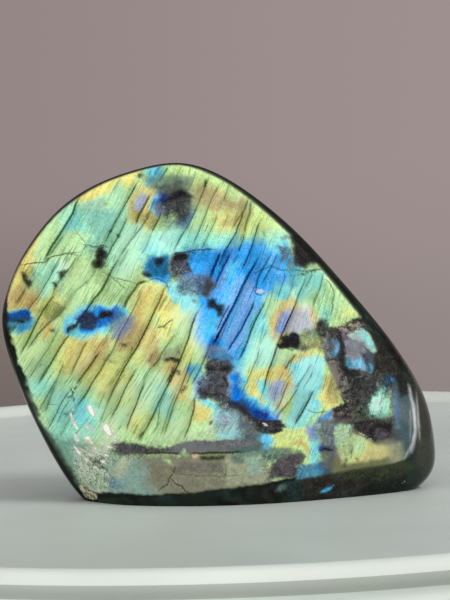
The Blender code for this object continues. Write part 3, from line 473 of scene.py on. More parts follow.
# The colour of the stone where it doesn't flash.
TONES = (
    patch((150, 146, 106), (-5.4, 81), (2, 80), (2, 74), (-5, 74), soft=1.4),
    patch((88, 110, 100), *TOP_HAZE, soft=1.2),
    patch((78, 108, 126), (-12.6, 74.4), (-5.2, 76.6), (-4.8, 71.4), (-12.6, 70.4), soft=0.9),
    oval((62, 66, 66), -9.4, 76.8, 5.6, 4.3, 80, soft=1.8),
    oval((24, 44, 96), -13, 78.6, 1.6, 1.2, 20),
    patch((104, 152, 140), (-34, 75.6), (-23.6, 75.4), (-26, 69.4), (-30.6, 67.8), soft=0.5),
    patch((154, 164, 152), (-33.8, 77.6), (-29.5, 78.7), (-27.6, 76), (-33.2, 75.5), soft=0.3),
    patch((86, 106, 112), *GREY_PATCH, soft=0.9),
    patch((16, 64, 86), *TEAL_SPOT),
    patch((76, 80, 90), *DARK_GRAIN),
    patch((96, 108, 132), *MOTTLED_GREY, soft=1),
    oval((62, 68, 80), -2.3, 56, 2.6, 1.5, 76, soft=0.8),
    patch((96, 116, 122), (-28, 44.6), (-27, 52), (-22, 51), (-22.4, 45.4), soft=1),
    patch((40, 54, 74), (-40, 44), (-38, 51), (-30, 53), (-25.6, 51), (-26.6, 47), (-34, 43), soft=1),
    patch((40, 66, 78), *LEFT_BLOT),
    patch((18, 28, 18), (-59, 57), (-54, 53.6), (-53.7, 46), (-48.8, 30), (-52, 27), (-59, 42), soft=0.7),
    patch((104, 118, 138), *BLUE_GREY_SIDE),
    patch((66, 88, 104), (-3.6, 39.6), (2, 40), (6.4, 37.4), (5.4, 34), (-4, 34), soft=1),
    patch((38, 52, 80), (1.6, 34), (5, 34), (6.4, 28.4), (17, 23.6), (17, 21), (8, 20.6), (1, 26.6)),
    patch((82, 84, 90), *DARK_LEG, soft=0.6),
    patch((60, 58, 60), *DARK_FOOT, soft=0.7),
    patch((138, 156, 164), *PALE_FOOT, soft=1.2),
    patch((92, 102, 110), *GREY_FOOT, soft=1),
    patch((96, 140, 150), (9.4, 17.8), (11.6, 19), (13.6, 17.4), (12.6, 14.2), (8.8, 15.6)),
    patch((128, 130, 110), *PLAIN_STRIP, soft=1.2),
    patch((120, 146, 132), *LOWER_LEFT_HAZE, soft=2),
    patch((96, 124, 112), (-48, 17.6), (-39, 18.6), (-36, 13), (-37.4, 5), (-44, 4), soft=2.2),
    patch((176, 190, 176), (-39, 14.6), (-28, 15.4), (-28.6, 9), (-26, 2), (-37, 2.4), soft=1.2, most=0.9),
    patch((152, 160, 136), (-19, 19.2), (3, 21), (3, 16.4), (-19, 15.4), soft=1),
    patch((134, 162, 152), (-29, 12.8), (-21, 12.2), (-18.6, 9), (-19.6, 6), (-15, 2), (-29.4, 1),
        soft=2.6),
    patch((112, 146, 152), (-28.6, 10.6), (-26.4, 11), (-26, 4), (-29, 4), soft=1.2),
    patch((176, 188, 158), (-26.6, 12.4), (-23, 12.2), (-26.4, 7), (-28.6, 7.6), soft=1),
    patch((122, 118, 98), (-18.6, 11), (-11, 10.6), (-12.8, 7.4), (-17.8, 6), soft=1.2),
    patch((112, 110, 100), (-11.4, 11.8), (0, 11.2), (0.2, 8.6), (-11.8, 8.8), soft=0.6),
    patch((154, 160, 132), (0.6, 12.4), (11, 12), (12, 5.4), (1, 5.4)),
    patch((82, 80, 82), (-28.8, 15.6), (-26.6, 16.8), (-18, 15.7), (-12.4, 15.8), (-12.6, 14.4),
        (-19.4, 14.2), (-20.6, 12.6), (-23, 13.6), (-25, 12.5), (-27, 13.4), (-28.6, 12.8), soft=0.6),
    patch((104, 106, 108), (-12.6, 15.6), (-8.4, 17.4), (4, 17.6), (11, 16), (9, 14.3), (-12, 14.2),
        soft=0.4),
    patch((52, 44, 36), (-5.8, 13.8), (1.6, 13.8), (0.6, 12.2), (-5, 12), soft=0.5),
    oval((168, 138, 110), -6.6, 13.2, 1, 0.8, 0, soft=0.3),
    patch((78, 100, 98), (2, 15.4), (16, 15.6), (21, 14), (13, 10.6), (3, 11.4), soft=0.9),
    patch((146, 178, 160), (6, 12.4), (9.8, 12.6), (10, 8), (7, 7.8), soft=0.9),
    patch((84, 80, 84), (13, 10.6), (15.4, 12.9), (21, 13.2), (19, 5.6), (12, 6.4)),
    patch((60, 84, 94), *LOWER_BLUE, soft=0.7),
    patch((88, 92, 88), *LOWER_GREY, soft=0.7),
    patch((62, 90, 78), *LOWER_LEFT_EDGE, soft=1.4, most=0.8),
    patch((14, 24, 17), (-50, 29.6), (-45.6, 19.2), (-40.2, 9.6), (-36.8, 2.6), (-42, 1), (-54, 28),
        soft=1),
    patch((10, 18, 12), *LOWER_EDGE, soft=0.35),
    patch((68, 68, 64), (26, 46.4), (38, 47), (56, 34), (56, 8), (33, 18.8), (27.4, 23.8), (29.8, 28),
        (29.6, 34.6), (26.6, 36), soft=1),
    patch((136, 132, 108), (31.2, 45), (37, 45.4), (36.4, 43.2), (34, 42.4), (31.4, 43.2), soft=0.4),
    patch((38, 40, 30), (36.4, 45.6), (38, 44.6), (40, 41), (41.6, 37.4), (39.8, 36.6), (39.6, 33.4),
        (42, 31.4), (48, 31.4), (51, 33), (46, 42), (40, 47.4), soft=0.5),
    patch((54, 54, 44), (40.6, 36.2), (46.4, 35), (48.6, 31.8), (42, 31.8), soft=0.4),
    patch((160, 182, 176), (33.4, 41.6), (36.8, 43.8), (38.6, 42.2), (40.8, 37.2), (38, 37), soft=0.4),
    patch((126, 130, 140), (32.3, 40.5), (34, 40.8), (38, 39.5), (37.5, 37.2), (38.2, 32.4), (35, 33),
        (32.5, 33.6), (31.9, 35.4), soft=0.4),
    patch((38, 92, 100), (31.8, 36.4), (33.4, 36), (35.2, 33), (32.6, 33.6), soft=0.4),
    patch((72, 84, 98), (37.6, 38.7), (39.8, 36.6), (39.9, 33), (38.4, 32.2), soft=0.3),
    patch((46, 52, 52), (35.2, 30.2), (40.6, 30.4), (40, 28), (37.4, 27), (35.6, 28.2), soft=0.7),
    patch((40, 62, 72), *DARK_TEAL, soft=0.6),
    patch((126, 126, 116), (26.4, 36.4), (28.8, 37), (30.6, 35.2), (28.6, 31.6)),
    patch((116, 112, 104), (28.4, 35), (31.6, 34.4), (33, 30), (32, 26.4), (28.6, 25.6), soft=0.6),
    patch((104, 110, 96), (28, 26.4), (33.4, 26), (33, 24.6), soft=0.4),
    patch((116, 106, 122), (31.4, 43.2), (33.6, 43), (33.8, 40.9), (32.5, 40.8), soft=0.3, most=0.8),
    patch((92, 96, 122), (22, 20.4), (29, 20.6), (28.8, 11.6), (23.8, 12.4)),
    patch((96, 88, 90), (28, 23.8), (33.4, 24), (34.2, 20.2), (28.6, 20), soft=0.5),
    patch((76, 86, 74), (33.8, 24), (38.2, 24), (38.6, 20.2), (34.2, 20), soft=0.6),
    patch((112, 140, 134), (28.8, 19.8), (33.6, 19.4), (32.4, 14), (28.8, 14), soft=0.5),
    patch((110, 114, 80), (28.8, 11), (47, 11.6), (48.6, 8), (40, 3), (27.4, 3.4)),
    patch((178, 174, 134), (29.4, 13), (33.4, 16.8), (39.4, 13.3), (46, 12.6), (47, 10.6), (40, 9.6),
        (31, 9)),
    patch((128, 132, 120), (42.6, 14), (47.4, 13.6), (48.8, 6), (43.6, 6), soft=1.6),
    patch((66, 86, 92), (44.8, 28), (51, 26), (51.4, 10), (46.4, 8.4), (46.6, 13.4), (44.6, 16)),
    patch((14, 20, 18), (45.2, 31), (50, 30.6), (50, 26.6), (46.6, 26.6), soft=0.6),
    patch((66, 62, 64), (33.8, 19.6), (43.6, 19), (43.6, 14.8), (39.4, 14.3), (34.2, 17.6), soft=0.4),
    patch((86, 80, 90), (40, 18.4), (42.8, 15.6), (40.2, 14.8), soft=0.4),
    patch((118, 122, 108), (17.6, 43.6), (28.4, 44.6), (28.4, 36.8), (21.6, 38.2), soft=1),
    patch((40, 38, 34), (15, 40.6), (19.6, 43.8), (22.2, 39.8), (16.4, 39.1), soft=0.6),
    oval(CHARCOAL, 26.2, 44, 2.8, 2, 60, soft=0.8),
)

# The same on the bevel below the face and on the rolled edge to the right of it.
BEVEL_TONES = (
    patch((50, 58, 36), (28, 7.6), (47, 9), (50, 6.4), (44, 3.6), (28, 5), soft=1.2),
    patch((56, 48, 40), (20, 6.4), (30, 6.4), (38, 3.4), (34, 0.6), (20, 1), soft=1, most=0.6),
    oval(TEAL_GREY, 14.8, 4, 1.1, 0.7, 20, soft=0.6, most=0.7),
    patch((56, 58, 52), (50, 30), (56, 26), (57, 8), (52, 4), (49.6, 9), (50.6, 20), soft=1.2),
)

# Painted highlights: pale streaks on the rolled edge to the right of the face, where the polish mirrors a
# tall narrow light.
PAINTED_ROLL_HIGHLIGHTS = (
    oval(0.8, 49.4, 24.4, 3.6, 0.28, 99, soft=0.4),
    oval(1, 50.1, 19, 4.2, 0.36, 91, soft=0.4),
    oval(0.9, 49.6, 13.6, 3, 0.3, 78, soft=0.35),
    oval(0.7, 48.3, 11, 2.2, 0.22, 60, soft=0.35),
    oval(0.6, 51.1, 19.6, 5, 0.18, 92, soft=0.35),
    oval(0.4, 48.9, 18, 3.6, 0.15, 88, soft=0.3),
)

# Whiter, above 0, or deeper, below 0, than the flash is elsewhere.
SHADES = (
    patch(-0.35, (18.4, 61.2), (28.2, 60), (27, 58.4), (22.6, 58.2), (21.4, 54.4), (18.6, 54.4), soft=1),
    patch(-0.3, (-33.4, 67), (-27, 70), (-25, 66), (-26, 58), (-30, 57), (-32, 61), soft=1.4),
    patch(-0.34, (-50.6, 61.4), (-46, 61.6), (-44.6, 58.6), (-46.6, 56), (-50.6, 56.8), soft=1.4),
    patch(-0.28, (-18.6, 84.8), (-8, 85), (-8, 81), (-16, 79.6), soft=1.2),
    patch(-0.28, (-9.8, 66.4), (-1.4, 67), (-1, 63), (-7, 62), soft=1),
    patch(-0.45, (-46, 50.6), (-41, 53), (-38.4, 51.4), (-39, 48.8), (-43.6, 48.2), soft=1),
    patch(-0.22, (-25.6, 51.6), (-22.6, 49.6), (-27, 45), (-29.4, 46.4), soft=1),
    patch(-0.24, (19.6, 44.4), (27.8, 43.2), (28.4, 38.4), (22.4, 38.6), (20.4, 40.6), soft=1.2),
    patch(-0.3, (27.6, 33.8), (31.6, 33.6), (31.6, 26), (27.6, 25.6), soft=1.2),
    patch(-0.22, (24.2, 52.8), (30.6, 50.8), (31.4, 46.4), (27.4, 44.2), (24.4, 46.4), soft=1.2),
    patch(-0.3, (-18.8, 61.2), (-16.4, 63.8), (-11.6, 64.4), (-11.2, 57.8), (-16.6, 58.4)),
    patch(-0.34, (-55.6, 50.8), (-48.4, 50.6), (-46.6, 48.8), (-48.6, 45.4), (-55, 45)),
    patch(-0.26, (-20.8, 76.4), (-12.4, 73.4), (-11.8, 70.4), (-15, 70.2), (-20.2, 72.6), soft=1.2),
    patch(-0.3, (3.4, 34), (5.4, 33), (6.6, 29), (10.4, 25.4), (8.4, 24), (4, 28.4), soft=0.9),
    patch(-0.22, (22.8, 21.4), (25.6, 21.6), (25.6, 8.4), (23.4, 8.2), (24, 15), soft=0.9),
    oval(-0.3, 28.6, 52.6, 3.6, 1, 100),
    oval(0.3, 28.8, 56.4, 1.8, 0.9, 120, soft=0.8),
    patch(0.3, (-11, 50), (-7, 51), (-5.4, 46), (-8, 41), soft=1.8),
    patch(0.12, (-10.4, 55.2), (-5, 54), (-9, 50.2), soft=1.2),
    patch(0.3, (-7.6, 53), (-4.2, 50), (-2.4, 39), (-4.2, 36), (-6.8, 42), soft=1.2),
    patch(0.25, (-16, 69), (-8, 70), (-9.5, 65), (-16, 65), soft=1.8),
    patch(0.2, *AQUA_FIELD, soft=1.6),
    patch(0.3, (7.6, 41.8), (15.4, 42.6), (16.6, 36.2), (7.2, 34.8), soft=1.8),
    patch(0.24, (1.4, 57), (9.4, 57.4), (11, 51), (7, 41), (1.6, 39.6), (-0.4, 46), soft=1.6),
    patch(0.32, (18.8, 50.4), (25, 49.8), (24.6, 43.6), (18.2, 42.6), soft=1.4),
    oval(0.2, 14.2, 29, 4, 3, 68),
    patch(0.25, (-41.5, 64.5), (-37, 64.5), (-36, 61.2), (-40.5, 60.6), soft=0.6),
    patch(0.22, (-31, 31), (-14, 34.6), (-13.6, 30), (-23.6, 20), (-29, 20.6), soft=1.6),
    patch(0.3, (-36, 42), (-31.6, 38.4), (-36.4, 32.6), (-38, 36), soft=0.9, most=0.7),
    patch(0.22, (-2, 30), (-6, 34), (-8, 27), (-6, 24), soft=1, most=0.8),
    patch(0.35, (-2, 25.2), (3, 24.4), (6, 19.6), (-4, 18), soft=1.4),
    patch(0.25, (-14, 24), (-8, 24), (-7, 18), (-15, 18), soft=2),
    patch(0.24, (-8.6, 37), (-11.8, 35), (-16.6, 26), (-13.6, 24.4), (-9.8, 30), soft=1.2),
    oval(0.45, 40.2, 23.8, 2.4, 1.7, 60, soft=1.4),
    oval(0.2, 36, 34.4, 1.6, 1, 0, soft=0.8),
    patch(0.25, (28.8, 19.6), (33.4, 19.6), (32.4, 14.6), (28.8, 15.8)),
    oval(0.35, -18.5, 77.6, 2.2, 1, 72, soft=0.7),
    oval(-0.1, -30.5, 74.4, 6, 4, 20, soft=2),
    patch(-0.12, (-47, 57), (-44, 55), (-50, 49.6), (-56, 50), soft=1.2),
    patch(0.2, (-34, 26.6), (-30.6, 26), (-31, 21.6), (-33.8, 22.4), soft=1),
    patch(0.26, (21, 36.6), (26.6, 36.6), (22.6, 23.4), (19.8, 20.4), (17, 21), soft=1.1),
    patch(0.12, *LEFT_FIELD, soft=1.8),
    patch(0.16, (-44, 31), (-38, 32), (-37, 27), (-42, 26), soft=1.4),
    patch(0.12, (-36.6, 63), (-32.4, 62), (-33.6, 56.4), (-38.4, 55.6), soft=1.4),
)

# How much the stone is broken up into a rough mosaic of grains.
GRAINS = (
    patch(0.9, *DARK_GRAIN, soft=0.9),
    patch(0.7, *MOTTLED_GREY, soft=1.2),
    patch(0.35, (-2, 62), (7, 62), (4, 55.6), (-3, 55.6), soft=1.6),
    patch(0.6, (-40, 44.4), (-38, 51), (-30, 52), (-24, 50.6), (-26, 47), (-34, 44.4), soft=1),
    patch(0.7, (-13.5, 80), (-5.5, 80), (-6.5, 72.5), (-12.5, 72), soft=1.6),
    patch(0.8, (-6, 34.5), (-3, 39), (4, 37), (3.6, 27), (-6, 28)),
    patch(0.9, *DARK_FOOT, soft=0.7),
    patch(0.45, (0, 26.6), (2.4, 26), (11.4, 16.6), (8, 14.6), (-6, 16), soft=1.4),
    patch(0.25, *PLAIN_STRIP, soft=1.5),
    patch(0.65, (-29, 17.4), (-12, 16.8), (-12, 14), (-19, 13.6), (-21, 11.8), (-28, 11.6)),
    patch(0.8, (-39, 15), (-29, 15), (-28, 3.4), (-39, 3), soft=2),
    patch(1, (26, 46), (38, 46.4), (50, 34), (50.6, 27), (38, 20), (27.4, 21), (30.8, 28), (30, 34),
        (26.6, 36)),
    patch(0.34, (32.3, 40.5), (34, 42.2), (36.6, 43.1), (38.9, 42.3), (41, 37.2), (39.9, 33), (38.2, 32.4),
        (32.5, 33.6), soft=0.3),
    patch(0.4, (28.1, 41.6), (30.4, 41), (31.3, 38.6), (28.5, 36.4), soft=0.3),
    patch(0.12, (44, 26.4), (45, 30.2), (50.6, 26), (50.6, 10), (46, 12)),
    patch(0.75, (37.4, 25), (42.4, 29.8), (44.6, 27.6), (44.6, 21), (38.2, 21.4)),
    patch(0.8, (33.8, 20.4), (44.2, 20.2), (43.6, 14.2), (39.2, 13.8), (34.2, 17), soft=0.7),
    patch(0.6, (15.6, 44), (27.6, 45.6), (28, 36.4), (16, 37.6), soft=1.2),
    patch(0.7, (9.6, 13), (22, 13.4), (22, 9), (18, 6), (11, 6), soft=1.2),
    patch(0.5, (24, 23), (34, 21), (33, 11.6), (24.6, 12), soft=1),
    patch(0.8, (14, 5.4), (36, 7.2), (46, 7), (46, 0), (14, 0), soft=1.6),
    patch(0.6, *GREY_PATCH),
)

# Black inclusions and dark spots, as outlines and ovals. The value is how solid each one is.
INCLUSIONS = (
    patch(1, (-50, 60.5), (-49.1, 60.2), (-48.1, 58.9), (-47.3, 58.3), (-47.2, 57), (-48.1, 56.4),
        (-49.8, 59.2)),
    patch(1, (-29.6, 66.6), (-28.4, 66.8), (-27.6, 64.9), (-27.7, 63.7), (-28.4, 63.3), (-28.2, 61.7),
        (-29.6, 61), (-31, 61.3), (-31.2, 62.7), (-30.2, 63.7), (-30.3, 64.9)),
    patch(1, (-40.3, 60), (-37.7, 61), (-39.4, 58.4)),
    patch(1, (-41.7, 57.4), (-40.2, 57.9), (-41, 55.9)),
    patch(1, (-2.2, 52.9), (-0.1, 52.9), (0.1, 51.7), (1.6, 51.1), (1.9, 50.2), (1.3, 48.6), (0.3, 48.4),
        (0.1, 49.8), (-0.9, 50.6), (-2.5, 50.9)),
    patch(1, (19.4, 67.2), (21.4, 67.6), (24.4, 65.6), (29.4, 60.2), (24.6, 60.3), (23, 59.2), (21.4, 59.6),
        (20.3, 60.4), (20, 66)),
    patch(0.85, (-24.6, 42.3), (-22.3, 42.3), (-23.6, 41)),
    patch(0.72, (3.2, 27.8), (9.2, 21.7), (15.9, 21.8), (15.7, 20.9), (9.2, 21), (3, 26.6)),
    patch(1, (15.9, 42.3), (19.4, 43.7), (20.4, 42.6), (20.9, 40.4), (20, 39.6), (18.8, 39.2), (17.7, 39.4),
        (16.4, 40.8)),
    patch(1, (30.8, 43), (32, 39.6), (32.3, 36), (32.4, 34), (34, 32.9), (36.4, 31.6), (34.4, 31),
        (32, 32.2), (31, 33.6), (31.3, 37.6), (30.8, 41)),
    patch(0.9, (36.6, 37), (37.4, 36.8), (38.9, 32.4), (38.2, 32.2)),
    patch(0.5, (41, 41.8), (45.6, 37), (41.8, 37.4)),
    patch(0.45, (40.6, 36), (44, 35.4), (47.6, 31.6), (46.4, 30.6), (42, 31.6), (39.8, 34)),
    patch(1, (45.4, 30.4), (48.4, 29), (48.3, 25.6), (46.6, 25.2)),
    patch(1, (39.2, 18.9), (42, 19), (43.6, 18.2), (43.4, 16), (42.4, 17.4), (40.8, 18.1), (39.4, 17.8),
        (38.9, 16), (38.2, 17.2)),
    patch(0.5, (34.2, 19.6), (38.4, 19.4), (39, 15.4), (34.6, 18)),
    *ovals(1, (-18.4, 84.2, 0.7, 0.4, 0), (-8.4, 79.2, 1.9, 0.9, 15), (-14.2, 62.6, 1.1, 0.9, 30),
        (-17.4, 59.4, 1.2, 0.6, 150), (-12.2, 38, 1.3, 0.45, 10), (-10.4, 37.7, 0.9, 0.55, 0),
        (-10.3, 34.7, 0.35, 0.3, 0)),
    *ovals(0.95, (-20.2, 18.6, 1.2, 0.4, 62)),
    *ovals(0.9, (-12.2, 74.2, 0.7, 0.35, 0), (-1.9, 81.6, 0.9, 0.35, 66), (-27.9, 49.7, 1.9, 1, 15),
        (-42.2, 45.6, 0.65, 0.4, 0), (-54.6, 48.4, 1, 1.6, 0), (-13.4, 46.3, 0.35, 0.3, 0),
        (-2.3, 22, 0.4, 0.7, 150), (-9, 30.4, 1.1, 0.45, 62), (-12, 34.2, 1.9, 0.45, 68),
        (1.2, 35.4, 1.6, 0.6, 10), (3.2, 35.2, 1.4, 0.35, 30), (35.6, 30.4, 1.7, 0.35, 15),
        (26.8, 13.2, 1.6, 0.7, 0), (31.6, 9.4, 1, 0.3, 64)),
    *ovals(0.85, (12.9, 68.4, 0.25, 0.5, 0), (-8.6, 63.4, 2.2, 1, 12), (-5.7, 52.6, 0.6, 0.3, 160),
        (-1.6, 35.4, 1.2, 0.7, 20)),
    *ovals(0.8, (-26.5, 70.4, 0.45, 0.4, 0), (-24.3, 69.2, 0.5, 0.4, 0), (-10.8, 78.2, 1.4, 0.5, 10),
        (-37.3, 46, 1.5, 0.5, 40), (-53, 46.2, 0.9, 0.25, 10), (35.8, 44.9, 1.5, 0.5, 10),
        (28.6, 40.4, 0.5, 1.7, 0), (29.6, 35.9, 1.7, 0.5, 165), (37.2, 19.6, 2.4, 0.4, 5),
        (30.2, 23.4, 2.4, 0.4, 15), (33.2, 12.6, 1, 0.3, 70), (-31.8, 11.2, 1.3, 0.5, 5),
        (-30, 9.8, 1, 0.4, 150)),
    *ovals(0.75, (-50.4, 47.9, 1.9, 0.35, 0), (1.6, 32.4, 1.8, 0.35, 105), (26, 44.6, 1.9, 1, 70),
        (31.6, 21.2, 2.2, 0.5, 170)),
    *ovals(0.7, (-18.8, 63.4, 0.5, 0.3, 0), (-9, 75.2, 1.2, 0.8, 100), (-12.4, 60.6, 1.6, 0.4, 62),
        (23.4, 58, 2.8, 0.4, 10), (-3.6, 29, 1.6, 0.35, 150), (9.4, 19, 1.4, 0.5, 120),
        (13.6, 19, 1.9, 0.5, 15), (26.8, 42.2, 1.3, 0.7, 0), (33.2, 43.8, 1.6, 0.4, 0),
        (33, 26.4, 2.2, 0.5, 20), (30.4, 29, 1.6, 0.6, 30), (35.4, 25.2, 1.8, 0.5, 60),
        (34.6, 10, 1, 0.25, 110), (-39.6, 23.8, 1, 0.7, 20)),
    *ovals(0.65, (-13.4, 81, 1.7, 0.7, 5), (-0.4, 28.8, 1.8, 0.6, 10), (33.6, 28.6, 0.6, 1.2, 10)),
    *ovals(0.6, (-6.6, 64.3, 2.6, 0.5, 5), (21.9, 39.4, 1.3, 0.7, 15)),
    *ovals(0.55, (-46.8, 60.2, 1.5, 0.8, 100), (-9.8, 39.6, 1, 1.4, 0)),
)

# Light flecks and painted glints, in the same form. The flecks at the lower left and the small ones on
# the bevel at the lower right are painted highlights where the polish sparkles; the others are pale
# flecks in the stone. Those above 1 are brilliant, and low values give scattered specks.
FLECKS_AND_GLINTS = (
    patch(0.3, (-39, 17), (-33, 22), (-26, 21.6), (-26, 16.4), (-28, 11), (-28.6, 5), (-36, 4), (-38.6, 9)),
    patch(0.38, (-32, 21.4), (-26.2, 20.8), (-26.4, 14.4), (-33, 11), (-36.6, 12), (-34, 18)),
    patch(1.3, (-34.2, 26.1), (-32.9, 26.5), (-32.4, 25.1), (-32.1, 23.4), (-33, 23.5), (-33.6, 24.8)),
    patch(1.3, (-30.2, 21.2), (-28.8, 21.5), (-28.3, 20.2), (-28, 18.4), (-28.8, 18.2), (-29.8, 19.6)),
    *ovals(1.3, (-37.7, 25.1, 0.5, 0.3, 60), (-38.4, 23.6, 0.5, 0.3, 112), (-38.1, 22.4, 0.7, 0.36, 104),
        (-37.6, 21.1, 0.7, 0.36, 118), (-37, 20, 0.6, 0.34, 122), (-37.6, 18, 0.7, 0.42, 112),
        (-37.1, 16.8, 0.5, 0.4, 120), (-37.1, 13.8, 0.7, 0.4, 122), (-34.3, 17.5, 0.8, 0.5, 15),
        (-26.9, 18.3, 0.8, 0.35, 95), (-30.6, 11.3, 0.75, 0.4, 5)),
    *ovals(1.2, (-37.6, 14.8, 0.6, 0.3, 110), (-36.6, 13.1, 0.4, 0.3, 120), (-33.8, 12.9, 0.5, 0.3, 165),
        (-34.9, 11.4, 0.4, 0.55, 0), (-34.2, 20.6, 0.8, 0.42, 95), (-33.4, 16.3, 0.7, 0.4, 150),
        (-27.6, 19.6, 0.6, 0.3, 20), (-27.3, 16.9, 0.6, 0.3, 20), (-29.6, 12.9, 0.7, 0.35, 10)),
    *ovals(1.1, (-35.5, 14.1, 0.6, 0.2, 152), (-34.6, 13.4, 0.6, 0.25, 150), (-32.9, 19.8, 0.5, 0.3, 0),
        (-32.6, 14.7, 0.6, 0.4, 20), (-29.2, 17.4, 0.7, 0.4, 60), (-29, 15.2, 0.9, 0.45, 10),
        (-32.6, 9.6, 0.7, 0.35, 160)),
    *ovals(1, (-30.6, 16.2, 0.6, 0.4, 130), (-35.4, 9.9, 0.4, 0.35, 0), (-37.2, 10, 0.3, 0.4, 0),
        (-35.8, 8.2, 0.4, 0.25, 40)),
    *ovals(0.9, (-33.9, 7.8, 0.5, 0.3, 30), (-31, 13.9, 0.4, 0.3, 0)),
    *ovals(0.7, (-31.6, 24.4, 0.8, 0.4, 110), (11.2, 20.7, 0.9, 0.4, 145), (0.2, 26.6, 0.3, 0.8, 0),
        (1.6, 26, 0.3, 0.7, 150), (-23.8, 42.7, 1.4, 0.18, 0)),
    *ovals(0.66, (11, 54.1, 1.3, 0.6, 5)),
    *ovals(0.62, (36.9, 16, 2.4, 0.22, 146)),
    *ovals(0.6, (-29, 64, 0.5, 0.3, 60), (-44, 48.25, 4.2, 0.16, 0), (-7.1, 13.2, 0.7, 0.6, 0)),
    *ovals(0.5, (32.2, 25.3, 1.4, 0.2, 8), (35.3, 23.4, 1, 0.2, 50), (46.8, 2.6, 0.8, 0.35, 25),
        (-42, 16.2, 2.6, 0.14, 8)),
    *ovals(0.4, (39, 0.9, 0.5, 0.2, 10), (-42.6, 18.4, 2.4, 0.12, 4)),
)

